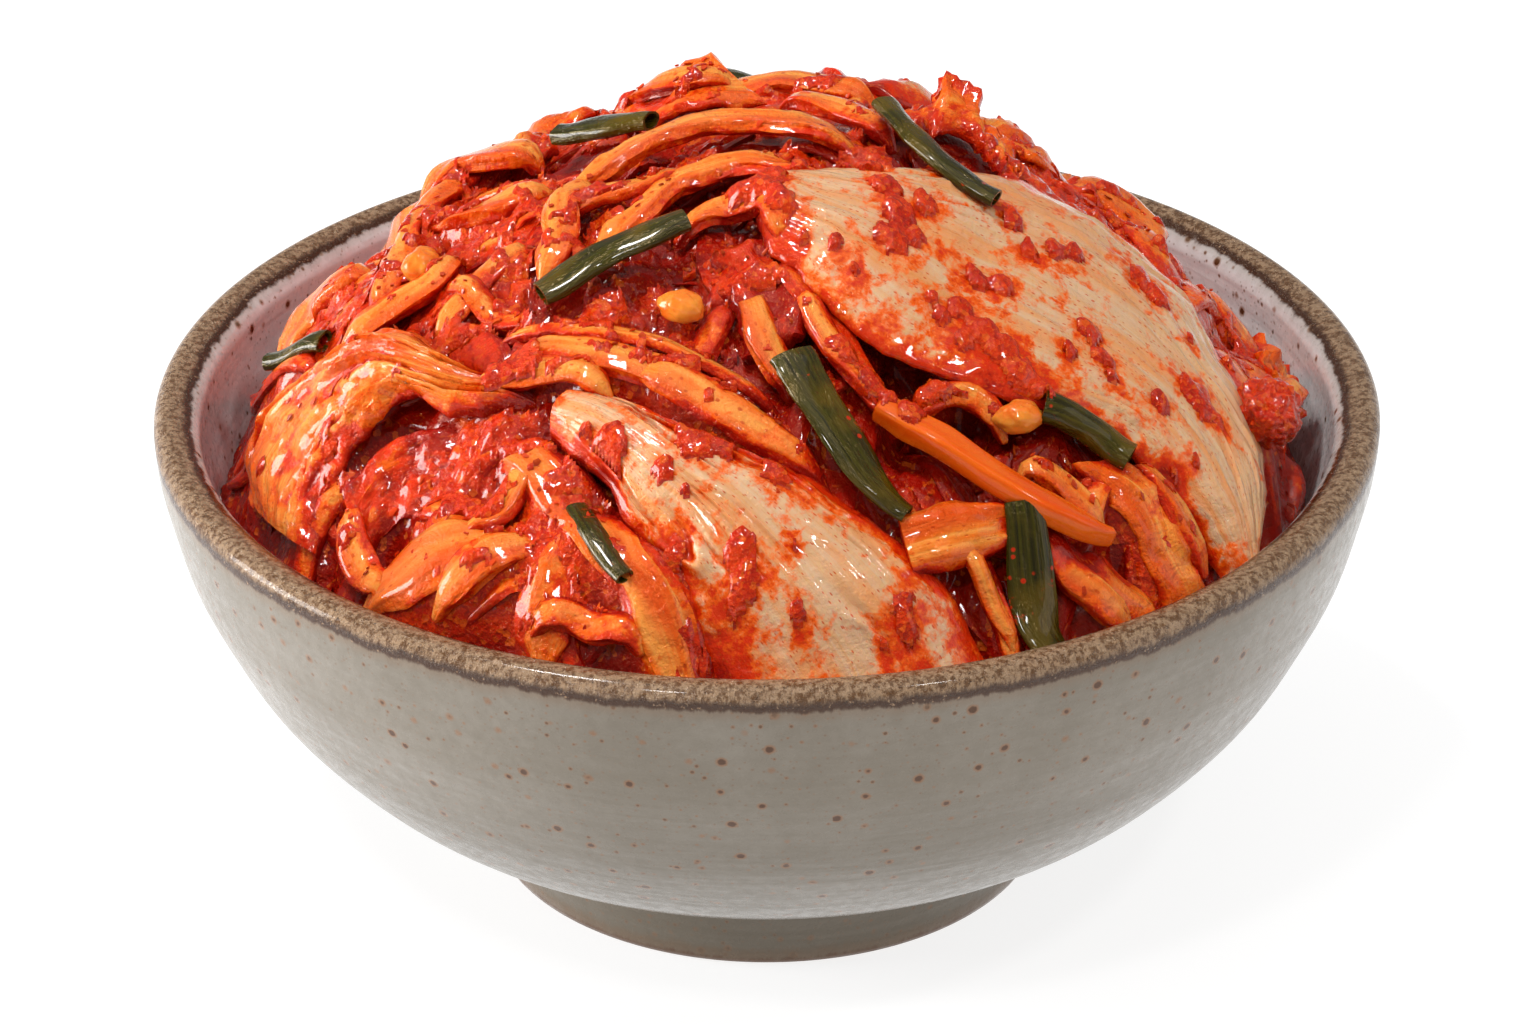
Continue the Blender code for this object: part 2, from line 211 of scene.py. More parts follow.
class Pile:
    """The height of everything laid so far, on a square grid over the bowl."""

    CELL = 0.4
    HALF = 76.0

    def __init__(self):
        self.axis = np.arange(-self.HALF, self.HALF + self.CELL / 2, self.CELL)
        self.x, self.y = np.meshgrid(self.axis, self.axis, indexing="ij")
        self.top = heap_height(self.x, self.y) - CORE_DEPTH
        for x, y, radius, depth in HOLLOWS:
            self.top -= depth * np.exp(-((self.x - x) ** 2 + (self.y - y) ** 2) / radius**2)

    def at(self, grid, x, y):
        """Bilinear reading of a grid."""
        last = len(self.axis) - 1.001
        i = np.clip((np.asarray(x) + self.HALF) / self.CELL, 0, last)
        j = np.clip((np.asarray(y) + self.HALF) / self.CELL, 0, last)
        i0, j0 = i.astype(int), j.astype(int)
        a, b = i - i0, j - j0
        low = (1 - b) * grid[i0, j0] + b * grid[i0, j0 + 1]
        high = (1 - b) * grid[i0 + 1, j0] + b * grid[i0 + 1, j0 + 1]
        return (1 - a) * low + a * high

    def cells_of(self, surface):
        """The cells that a surface of rows of points covers, with its height in each."""
        found = []
        x, y, z = np.moveaxis(surface, -1, 0)
        span = max(np.hypot(np.diff(x, axis=k), np.diff(y, axis=k)).max() for k in (0, 1))
        steps = np.linspace(0, 1, max(2, int(math.ceil(span / self.CELL * 1.6))) + 1)[:-1]
        for a in steps:
            for b in steps:
                found.append([
                    ((1 - a) * (1 - b) * g[:-1, :-1] + a * (1 - b) * g[1:, :-1]
                     + (1 - a) * b * g[:-1, 1:] + a * b * g[1:, 1:]).ravel()
                    for g in (x, y, z)
                ])
        px, py, pz = (np.concatenate(part) for part in zip(*found))
        last = len(self.axis) - 1
        i = np.clip(np.rint((px + self.HALF) / self.CELL).astype(int), 0, last)
        j = np.clip(np.rint((py + self.HALF) / self.CELL).astype(int), 0, last)
        return i, j, pz

    def cover(self, surface):
        i, j, height = self.cells_of(surface)
        np.maximum.at(self.top, (i, j), height)

    def blurred(self, grid, sigma):
        """A Gaussian blur, sigma in millimetres."""
        wave = np.fft.fftfreq(len(self.axis), self.CELL)
        fade = np.exp(-2 * (math.pi * sigma) ** 2 * (wave[:, None] ** 2 + wave[None] ** 2))
        return np.fft.ifft2(np.fft.fft2(grid) * fade).real


def through(points, count):
    """A smooth curve through two or more places, as count points evenly spaced along it, and its length."""
    points = np.array(points, float)
    p = np.vstack([2 * points[0] - points[1], points, 2 * points[-1] - points[-2]])
    t = np.linspace(0, len(points) - 1, 300)
    k = np.minimum(t.astype(int), len(points) - 2)
    f = (t - k)[:, None]
    a, b, c, d = p[k], p[k + 1], p[k + 2], p[k + 3]
    fine = 0.5 * (2 * b + (c - a) * f + (2 * a - 5 * b + 4 * c - d) * f**2 + (3 * b - 3 * c + d - a) * f**3)
    run = np.concatenate([[0], np.cumsum(np.linalg.norm(np.diff(fine, axis=0), axis=1))])
    even = np.linspace(0, run[-1], count)
    return np.stack([np.interp(even, run, fine[:, k]) for k in range(points.shape[1])], 1), run[-1]


def soften(z, rounds):
    """Bridge the hollows under a piece. A stiff piece takes more rounds."""
    floor = z.copy()
    for _ in range(rounds):
        wide = np.pad(z, 1, mode="edge")
        mean = (wide[:-2, 1:-1] + wide[2:, 1:-1] + wide[1:-1, :-2] + wide[1:-1, 2:]) / 4
        z = np.maximum(mean, floor)
    return z


def keep_inside(points):
    """Pull points in from the bowl's wall."""
    x, y, z = np.moveaxis(points, -1, 0)
    limit = np.where(z < BOWL_RIM_Z - 1, inner_radius(np.minimum(z, INNER_TOP_Z)) - 0.4, BOWL_RADIUS)
    scale = np.minimum(1, limit / np.maximum(np.hypot(x, y), 1e-6))
    return np.stack([x * scale, y * scale, z], -1)


class Shape:
    """One piece's mesh, in millimetres, with how far along and across it each point is."""

    def __init__(self, kind, points, faces, route, tone=0.0):
        self.kind = kind
        self.points = points
        self.faces = faces
        self.route = route
        self.tone = np.full(len(points), float(tone))


def grid_faces(rows, columns, start=0, loop=False):
    """Quads over rows of points; loop closes each row on itself."""
    i = np.arange(rows - 1)[:, None]
    j = np.arange(columns if loop else columns - 1)[None]
    k = (j + 1) % columns
    corners = (i * columns + j, (i + 1) * columns + j, (i + 1) * columns + k, i * columns + k)
    return np.stack(np.broadcast_arrays(*corners), -1).reshape(-1, 4) + start


def plan(places, widths, along, wander, seed):
    """A piece's middle line, its side directions and its widths, seen from above."""
    middle, length = through([place[:2] for place in places], along + 1)
    u = np.linspace(0, 1, along + 1)
    s = u * length
    aside = [fbm(s / 14, seed * 1.7, 0.5, 2), fbm(s / 14, seed * 2.9, 7.5, 2)]
    middle = middle + wander * np.stack(aside, 1)
    heading = np.gradient(middle, axis=0)
    heading /= np.linalg.norm(heading, axis=1, keepdims=True)
    side = np.stack([-heading[:, 1], heading[:, 0]], 1)
    width = np.interp(u, np.linspace(0, 1, len(widths)), widths)
    return middle, side, width, length


def normals_of(points):
    """Upward normals of rows of points."""
    cross = np.cross(np.gradient(points, axis=0), np.gradient(points, axis=1))
    cross /= np.maximum(np.linalg.norm(cross, axis=2, keepdims=True), 1e-9)
    return cross * np.where(cross[..., 2:] < 0, -1.0, 1.0)


def surface_rise(s, w, u, v, seed, ruffle, ridges, bulge, curl):
    """How far a slab's top stands off its bed.

    s and w are how far along and across each point is in millimetres, u from 0 to 1 and v from -1 to 1.
    """
    wave = ruffle[0] * fbm(s / ruffle[1], w / ruffle[1] + seed, 0.5, 3, 2) * (0.4 + 0.6 * np.abs(v) ** 1.5)
    wave = wave + bulge * (1 - v**2)
    wave = wave - curl[0] * np.clip(-v, 0, 1) ** 4 - curl[1] * np.clip(v, 0, 1) ** 4
    bend = 0.9 * fbm(s / 25, w / 6, seed, 2)
    comb = np.cos(2 * math.pi * (w / ridges[1] + bend))
    comb = comb + 0.5 * np.cos(2 * math.pi * (w / ridges[1] * 1.7 + 2 * bend))
    grooves = ridges[0] * comb * (0.55 + 0.6 * NOISES[1](s / 18, w / 5, seed)) * (1 - np.abs(v) ** 8)
    grooves = grooves * smoothstep(0.0, 0.22, np.minimum(u, 1 - u))
    fine = 0.07 * fbm(s / 6.0, w / 0.9, seed, 2, 3)
    return wave + grooves + fine


def slab(pile, bed, s, w, thick, seed, kind, tone=0.0, ruffle=(0.6, 5.0), ridges=(0.15, 1.2), crown=2.0,
         bulge=0.0, curl=(0.0, 0.0), torn=0.3):
    """Close a bed of points into a slab with ridges along it and ruffled, rounded edges.

    crown is how soon the section thins towards the sides, bulge how far its middle rises, curl how far its
    first and last side turn down, and torn how far its ends thin out.
    """
    rows, columns = s.shape
    v = np.linspace(-1, 1, columns)[None] + 0 * s
    u = np.linspace(0, 1, rows)[:, None] + 0 * s
    normal = normals_of(bed)
    body = np.maximum(0.22, np.sqrt(np.clip(1 - np.abs(v) ** (2 * crown), 0, 1)))
    body = body * (1 - torn * np.abs(2 * u - 1) ** 16)
    rise = surface_rise(s, w, u, v, seed, ruffle, ridges, bulge, curl) - thick * 0.5 * (1 - body)
    top = keep_inside(bed + normal * rise[..., None])
    low = keep_inside(top - normal * (thick * body)[..., None])
    pile.cover(top)
    count = rows * columns
    upper = grid_faces(rows, columns)
    lower = grid_faces(rows, columns, count)[:, ::-1]
    ids = np.arange(count).reshape(rows, columns)
    ring = np.concatenate([ids[0, :-1], ids[:-1, -1], ids[-1, :0:-1], ids[:0:-1, 0]])
    after = np.roll(ring, -1)
    rim = np.stack([ring, after, after + count, ring + count], -1)
    faces = np.concatenate([upper, lower, rim])
    if np.cross(bed[1, 0] - bed[0, 0], bed[0, 1] - bed[0, 0])[2] < 0:
        faces = faces[:, ::-1]
    route = np.stack([s, w, np.abs(v)], -1).reshape(-1, 3)
    points = np.concatenate([top.reshape(-1, 3), low.reshape(-1, 3)])
    made = Shape(kind, points, faces, np.concatenate([route, route]), tone)
    made.surface = top
    return made


def sheet(pile, places, widths, thick, seed, kind="leaf", step=0.9, across_step=0.8, wander=0.6,
          rough_edge=0.12, stiff=14, sink=0.4, ends=0.6, **more):
    """Lay a cut of rib or leaf over the pile, along its middle line."""
    length = through([place[:2] for place in places], 3)[1]
    along = max(10, int(length / step))
    across = max(8, int(max(widths) / across_step))
    middle, side, width, length = plan(places, widths, along, wander, seed)
    u = np.linspace(0, 1, along + 1)[:, None]
    v = np.linspace(-1, 1, across + 1)[None]
    tip = ends + (1 - ends) * np.sqrt(np.clip(1 - np.abs(2 * u - 1) ** 5, 0, 1))
    rough = fbm(u * length / 5, np.sign(v) * 9.0 + seed, 3.5, 3)
    half = width[:, None] / 2 * tip * (1 + rough_edge * rough)
    x = middle[:, None, 0] + side[:, None, 0] * half * v
    y = middle[:, None, 1] + side[:, None, 1] * half * v
    z = soften(pile.at(pile.top, x, y), stiff) - sink + thick * 0.8
    if len(places[0]) > 2:
        line = np.interp(u[:, 0], np.linspace(0, 1, len(places)), [place[2] for place in places])
        z = np.maximum(z, line[:, None] - 1.0 - 2.0 * np.abs(v) ** 2)
    bed = np.stack([x, y, z], -1)
    return slab(pile, bed, u * length + 0 * v, v * width.max() / 2 + 0 * u, thick, seed, kind, **more)


def between(pile, first, last, thick, seed, kind="leaf", step=0.8, across_step=0.7, rough_edge=0.35,
            **more):
    """A cut of rib or leaf whose two side edges are given in space."""
    length = max(through(first, 3)[1], through(last, 3)[1])
    along = max(10, int(length / step))
    a = through(first, along + 1)[0]
    b = through(last, along + 1)[0]
    wide = np.linalg.norm(b - a, axis=1).max()
    across = max(8, int(wide / across_step))
    u = np.linspace(0, 1, along + 1)[:, None]
    v = np.linspace(0, 1, across + 1)[None]
    bed = a[:, None] * (1 - v[..., None]) + b[:, None] * v[..., None]
    way = (b - a) / np.maximum(np.linalg.norm(b - a, axis=1, keepdims=True), 1e-6)
    rough = rough_edge * fbm(u * length / 4, (v > 0.5) * 9.0 + seed, 3.5, 3) * (2 * v - 1)
    bed = bed + way[:, None] * rough[..., None]
    return slab(pile, bed, u * length + 0 * v, (v - 0.5) * wide + 0 * u, thick, seed, kind, **more)


def rope(pile, places, widths, thick, seed, kind="strip", step=0.8, around=24, wander=0.25, square=0.8,
         stiff=12, sink=0.6, arch=0.0, grooves=(0.09, 5), taper=(0.35, 0.35), tone=0.0, hollow=0.0,
         flat_roll=0.0, lumps=0.12, dive=2.6):
    """Lay a strip, stick or tube: a closed section swept over the pile or through places in space.

    A section's square is 1 for round and less for boxy, dive is how far the ends dip, and hollow is how
    wide the hole is as a share of the section.
    """
    length = through([place[:2] for place in places], 3)[1]
    along = max(8, int(length / step))
    middle, side, width, length = plan(places, widths, along, wander, seed)
    u = np.linspace(0, 1, along + 1)
    ends = np.interp(u, [0, 0.12, 0.88, 1], [taper[0], 1, 1, taper[1]])
    if kind == "strip":
        width = width * STRIP_WIDER
        thick = thick * STRIP_FLATTER
    half = width / 2 * ends * (1 + 0.12 * fbm(u * length / 6, seed, 2.5, 2))
    v = np.linspace(-1, 1, 5)[None]
    px = middle[:, None, 0] + side[:, None, 0] * half[:, None] * v
    py = middle[:, None, 1] + side[:, None, 1] * half[:, None] * v
    base = soften(pile.at(pile.top, px, py), stiff)
    tilt = np.clip((base[:, -1] - base[:, 0]) / np.maximum(2 * half, 0.5), -1.1, 1.1)
    tilt = np.convolve(np.pad(tilt, 4, mode="edge"), np.ones(9) / 9, mode="valid") * 0.8 + flat_roll
    if kind == "strip":
        tilt = tilt + ROCKING * NOISES[4](u * length / 9, seed, 1.5)
    z = base.mean(1) * 0.6 + base.max(1) * 0.4 + arch * np.sin(math.pi * u) - sink + thick / 2
    if len(places[0]) > 2:
        line = through(places, along + 1)[0][:, 2] - thick / 2
        z = np.maximum(line, z - 0.35 * thick)
    z = np.convolve(np.pad(z, 3, mode="edge"), np.ones(7) / 7, mode="valid") - dive * np.abs(2 * u - 1) ** 8
    line = np.column_stack([middle, z])
    forward = np.gradient(line, axis=0)
    forward /= np.linalg.norm(forward, axis=1, keepdims=True)
    right = np.column_stack([side, tilt])
    right -= (right * forward).sum(1, keepdims=True) * forward
    right /= np.linalg.norm(right, axis=1, keepdims=True)
    up = np.cross(forward, right)
    up *= np.sign(up[:, 2:3])
    angle = np.linspace(0, 2 * math.pi, around, endpoint=False)[None]
    cos = np.sign(np.cos(angle)) * np.abs(np.cos(angle)) ** square
    sin = np.sign(np.sin(angle)) * np.abs(np.sin(angle)) ** square
    s = (u * length)[:, None]
    swell = 1 + lumps * fbm(s / 4.5, cos * 1.3 + seed, sin * 1.3, 3)
    swell = swell + grooves[0] * np.cos(grooves[1] * angle + 1.2 * NOISES[2](s / 8, seed))

    def rings_at(scale):
        across = half[:, None] * cos * swell * scale
        high = thick / 2 * (0.55 + 0.45 * ends[:, None]) * sin * swell * scale
        return line[:, None] + right[:, None] * across[..., None] + up[:, None] * high[..., None]

    outer = keep_inside(rings_at(1.0))
    pile.cover(outer)
    spread = np.stack(np.broadcast_arrays(s, angle * width.mean() / 3, np.abs(cos)), -1)
    if hollow:
        points, route, faces = close_tube(outer, rings_at(hollow), spread)
    else:
        points, route, faces = close_ends(outer, forward, spread)
    if volume_of(points, faces) < 0:
        faces = faces[:, ::-1]
    made = Shape(kind, points, faces, route, tone)
    made.surface = outer
    return made


def close_tube(outer, inner, spread):
    """The points, route and faces of a tube between an outer and an inner set of rings."""
    rows, around = outer.shape[:2]
    count = rows * around
    last = count - around
    a = np.arange(around)
    b = (a + 1) % around
    faces = [
        grid_faces(rows, around, 0, loop=True),
        grid_faces(rows, around, count, loop=True)[:, ::-1],
        np.stack([b, a, a + count, b + count], -1),
        np.stack([a + last, b + last, b + last + count, a + last + count], -1),
    ]
    route = np.concatenate([spread, spread + [0, 0, 2.0]])
    return np.concatenate([outer, inner]).reshape(-1, 3), route.reshape(-1, 3), np.concatenate(faces)


def close_ends(rings, forward, spread):
    """The points, route and faces of a solid strip: its rings, and a blunt cap at each end."""
    rows, around = rings.shape[:2]
    count = rows * around
    a = np.arange(around)
    b = (a + 1) % around
    points = [rings.reshape(-1, 3)]
    route = [spread.reshape(-1, 3)]
    faces = [grid_faces(rows, around, 0, loop=True)]
    for row in (0, rows - 1):
        centre = rings[row].mean(0)
        reach = forward[row] * (-CAP_REACH if row == 0 else CAP_REACH)
        points.append(centre + (rings[row] - centre) * CAP_SHARE + reach)
        points.append(centre[None] + reach * 1.3)
        route.append(spread[row] * [1, 1, 0])
        route.append(np.array([[spread[row, 0, 0], 0, 0]]))
        first = row * around
        bevel = np.stack([first + b, first + a, count + a, count + b], -1)
        hub = np.full(around, count + around)
        fan = np.stack([count + b, count + a, hub, hub], -1)
        faces.extend([bevel, fan] if row == 0 else [bevel[:, ::-1], fan[:, [1, 0, 2, 3]]])
        count += around + 1
    return np.concatenate(points), np.concatenate(route), np.concatenate(faces)


def volume_of(points, faces):
    """Six times the volume inside a closed mesh of quads."""
    p = points - points.mean(0)
    a, b, c, d = (p[faces[:, k]] for k in range(4))
    return float((np.cross(a, b) * c).sum() + (np.cross(a, c) * d).sum())


# ---------------------------------------------------------------- what lies on the heap

def scatter_fillers(pile):
    """The small cut cabbage under and between the named pieces."""
    shapes = []
    draw = np.random.default_rng(21)
    for layer in range(SMALL_LAYERS):
        for k in range(SMALL_IN_LAYER):
            r = SCATTER_RADIUS * math.sqrt((k + draw.uniform()) / SMALL_IN_LAYER)
            a = k * GOLDEN_ANGLE + layer * 1.1
            x, y = r * math.cos(a), r * math.sin(a)
            if any(math.hypot(x - hx, y - hy) < 0.8 * radius for hx, hy, radius, _ in HOLLOWS):
                continue
            down = math.atan2(y, x) + draw.normal(0, 0.8)
            bend = draw.normal(0, 0.35)
            seed = layer * 200 + k
            tone = draw.uniform(0.0, 0.45)
            if draw.uniform() < SMALL_STRIPS:
                width = draw.uniform(2.8, 5.6)
                spine = arc_places(x, y, down, draw.uniform(16, 38), bend)
                shape = rope(pile, spine, [width * 0.7, width, width * 0.6], draw.uniform(1.7, 2.6), seed,
                             tone=tone, stiff=6, sink=1.0, arch=draw.uniform(0, 1.0), step=1.1, around=14,
                             flat_roll=draw.normal(0, 0.3), grooves=(0.06, int(draw.integers(4, 7))))
            else:
                width = draw.uniform(7, 13)
                spine = arc_places(x, y, down, draw.uniform(12, 24), bend)
                shape = sheet(pile, spine, [width * 0.7, width, width * 0.6], draw.uniform(0.9, 1.6), seed,
                              step=1.0, across_step=0.9, tone=tone + 0.1, stiff=8, sink=0.8,
                              rough_edge=0.25,
                              ruffle=(draw.uniform(1.0, 2.0), 4.0), ends=0.4, crown=4.0)
            shapes.append(shape)
    return shapes


def arc_places(x, y, heading, length, bend):
    """Three places on a bent line through x, y."""
    step = length / 2
    first = (x - step * math.cos(heading - bend), y - step * math.sin(heading - bend))
    last = (x + step * math.cos(heading + bend), y + step * math.sin(heading + bend))
    places = []
    for px, py in (first, (x, y), last):
        scale = min(1.0, SCATTER_EDGE / max(math.hypot(px, py), 1e-6))
        places.append((px * scale, py * scale))
    return places


# Name, maker, where it goes, its widths or its other edge, its thickness, then what differs from the
# maker's defaults.
LEAF = dict(ruffle=(1.0, 4.5), ridges=(0.22, 2.6), crown=4.0)
RIB = dict(kind="rib", ridges=(0.3, 3.0), ruffle=(0.35, 9.0), crown=1.2, tone=-0.22, torn=0.1)
GREEN = dict(kind="scallion", hollow=0.74, square=0.95, grooves=(0.0, 4), lumps=0.10, taper=(1, 1),
             wander=0.1, stiff=30, step=0.7, around=24, dive=0.0)
LOWER = [
    ("leaf_back_left", sheet, [(-47, 14), (-40, 30), (-26, 43)], [14, 20, 16], 2.0, LEAF),
    ("leaf_back", sheet, [(-22, 38), (-6, 50), (10, 56)], [16, 22, 14], 2.0, LEAF),
    ("rib_back", sheet, [(10, 36), (20, 46), (28, 60)], [16, 24, 20], 3,
     dict(RIB, bulge=0.8, stiff=24, tone=0.3)),
    ("leaf_back_right", sheet, [(30, 22), (39, 32), (40, 42)], [12, 16, 10], 2.0, LEAF),
    ("strip_far_left", rope, [(-63, 4, 70), (-59, 8, 73), (-55, 7, 78), (-52, 6, 80)], [4, 6, 5, 4], 4.5,
     dict(tone=-0.15)),
    ("strip_left_high", rope, [(-45, 10, 85), (-37, 4, 90), (-32, 3, 93), (-28, 4, 94)], [3.5, 4.5, 4, 3],
     3.4, {}),
    ("strip_left_low", rope, [(-41, -19, 85), (-38, -16, 87), (-35, -13, 89), (-30, -9, 92)],
     [3, 3.6, 3.6, 3], 3.2, {}),
    # Its tone is raised so it reads deep red in the hollow it lies in: part paste stain, part painted
    # shade.
    ("leaf_lower_left", between, [(-53, -35, 69), (-49, -33, 73), (-45, -32, 75), (-39, -34, 78),
                                  (-34, -36, 80)],
     [(-50, -43, 62), (-48, -40, 66), (-45, -40, 68), (-42, -42, 68), (-38, -44, 69)], 1.6,
     dict(LEAF, ruffle=(1.4, 5.0), tone=0.45)),
    ("strip_low_1", rope, [(-49, -49, 62), (-44, -49, 66), (-39, -50, 69), (-34, -51, 70), (-27, -52, 73)],
     [5, 6.8, 6.6, 5.6, 4], 3.2, dict(tone=-0.3, grooves=(0.11, 6))),
    ("strip_low_2", rope, [(-40, -56, 61), (-35, -55, 65), (-30, -54, 68), (-25, -53, 71)],
     [3.6, 4.6, 3.6], 2.6, {}),
    ("strip_low_3", rope, [(-27, -64, 60), (-26, -59, 65), (-24, -55, 70), (-22, -51, 74)], [5, 6, 4], 3.0,
     dict(tone=0.1)),
    ("strip_low_4", rope, [(-31, -41, 80), (-26, -47, 78), (-21, -53, 74), (-17, -59, 70), (-13, -64, 66),
                           (-9, -70, 60)],
     [4, 6, 6.2, 5.4, 5], 3.4, dict(tone=-0.2, taper=(0.8, 0.8), grooves=(0.11, 6))),
    ("strip_right_1", rope, [(25, -52, 71), (27, -56, 68), (29, -59, 64), (30, -62, 60)], [2.4, 2.4, 2.2],
     2.2, {}),
    ("strip_right_2", rope, [(38, -49, 70), (42, -51, 65), (48, -51, 60)], [3.6, 4.0, 3.4], 3.0, {}),
    ("leaf_lower_right", between, [(38, -41, 76), (44, -44, 71), (47, -47, 65), (50, -49, 60)],
     [(44, -38, 75), (50, -39, 71), (52, -43, 66), (55, -45, 60)], 1.6,
     dict(LEAF, ruffle=(1.2, 5.0), tone=-0.1)),
    ("strip_middle_1", rope, [(-33, -30, 85), (-28, -31, 88), (-20, -35, 89), (-13, -38, 88),
                              (-5, -43, 86), (2, -46, 84)],
     [2.6, 3.6, 4, 4, 3.4, 3], 3.0, dict(grooves=(0.08, 7), around=24, tone=-0.3)),
    ("strip_middle_2", rope, [(-16, -38, 87), (-9, -42, 86), (-4, -45, 84), (2, -48, 82), (7, -50, 80)],
     [3, 3.8, 3.8, 3.2, 2.6], 2.8, dict(grooves=(0.08, 6), around=22, tone=-0.3)),
]
UPPER = [
    ("rib_front", between,
     [(-27, -42, 81), (-24, -46, 80.5), (-20, -50, 79), (-17, -55, 76), (-13, -60, 72), (-10, -65, 67),
      (-6, -69, 61), (-5, -71, 58)],
     [(-23, -37, 84.5), (-16, -40, 85), (-9, -46, 84), (-2, -49, 83), (5, -52, 81), (10, -55, 78),
      (15, -57, 75), (21, -60, 70), (26, -63, 63), (28, -65, 59)], 3.6,
     dict(RIB, bulge=2.2, ridges=(0.50, 4.0), across_step=0.45, step=0.7, curl=(0.5, 1.5))),
    ("leaf_left", between,
     [(-27, -34.4, 79), (-31, -33.4, 82.5), (-38, -30, 84), (-43, -25, 85), (-48, -18, 84),
      (-54, -14, 80), (-60, -11, 74), (-65, -9, 68), (-69, -10, 61), (-67, -19, 59)],
     [(-27, -36.2, 78.5), (-31, -36.6, 81.5), (-38, -36, 81), (-42, -34, 81), (-46, -29, 80),
      (-50, -29, 77), (-53, -29, 73), (-55, -30, 69), (-57, -32, 65), (-58, -36, 61)], 2.2,
     dict(LEAF, tone=0.05, ridges=(0.8, 4.6), ruffle=(0.9, 6.0), bulge=1.0, curl=(1.0, 1.2),
          across_step=0.5)),
    ("leaf_middle", between, [(-7, -22, 95), (-4, -29, 92), (-3, -36, 89)],
     [(0, -20, 97), (4, -27, 94), (5, -34, 91)], 3.0,
     dict(LEAF, ruffle=(2.0, 3.0), tone=0.7, rough_edge=0.8)),
    ("strip_curved", rope, [(1, -22, 95), (6, -28, 93), (8, -32, 91), (11, -37, 88), (13, -40, 86),
                            (16, -43, 84)],
     [3, 4.4, 4.4, 3.8, 3], 2.6, dict(grooves=(0.10, 6), tone=-0.1)),
    ("strip_fold", between, [(16, -55, 76), (22, -53, 77), (28, -51, 76), (33, -49, 75)],
     [(18, -60, 71), (24, -58, 71), (30, -54, 71), (34, -51, 72)], 1.8,
     dict(LEAF, tone=-0.15, curl=(0.0, 1.0))),
    ("rib_right", between,
     [(-2, -13, 100), (0, -22, 99), (5, -28, 97), (10, -33, 94), (15, -36, 91), (23, -37, 88),
      (33, -37, 84), (43, -35, 79), (49, -36, 73), (55, -38, 65), (59, -40, 60)],
     [(1, -10, 101), (12, -7, 101), (22, -4, 100), (32, 1, 97), (39, 3, 93), (46, 2, 89), (52, 1, 84),
      (57, 0, 79), (60, -7, 74), (63, -12, 70), (65, -19, 66), (64, -29, 63), (61, -37, 59)], 2.8,
     dict(RIB, bulge=1.6, ridges=(0.22, 3.4), across_step=0.6, step=0.8, ruffle=(0.5, 9.0), crown=2.0,
          curl=(1.4, 1.5))),
    ("strip_right_high", rope, [(40, 27, 83), (45, 26, 83), (49, 24, 79), (52, 20, 76)], [5, 6, 5], 3, {}),
    ("leaf_right_edge", between, [(62, 24, 62), (66, 12, 66), (66, 2, 68)],
     [(70, 22, 57), (70, 10, 61), (70, 0, 62)], 1.8,
     dict(LEAF, ruffle=(2.2, 3.0), rough_edge=1.5, tone=0.1)),
    ("strip_top_1", rope, [(-25, -1, 97), (-19, 1, 99), (-14, 3, 101), (-8, 5, 102), (-2, 4, 103),
                           (5, 2, 103), (12, 0, 101)],
     [3.0, 3.8, 3.4, 3.6, 3], 2.8, dict(tone=0.0, grooves=(0.13, 6), lumps=0.16)),
    ("strip_top_2", rope, [(-22, -17, 94), (-16, -12, 97), (-12, -7, 99), (-7, -5, 100), (-2, -5, 101),
                           (8, -10, 100)],
     [3, 3.8, 3.6, 3.6, 3], 2.8, dict(grooves=(0.13, 6), lumps=0.16)),
    ("leaf_peak", between, [(-20, 26, 93), (-14, 25, 98), (-8, 24, 103)],
     [(-16, 14, 96), (-9, 15, 100), (0, 16, 99)], 1.8,
     dict(LEAF, tone=0.15, rough_edge=0.8)),
]
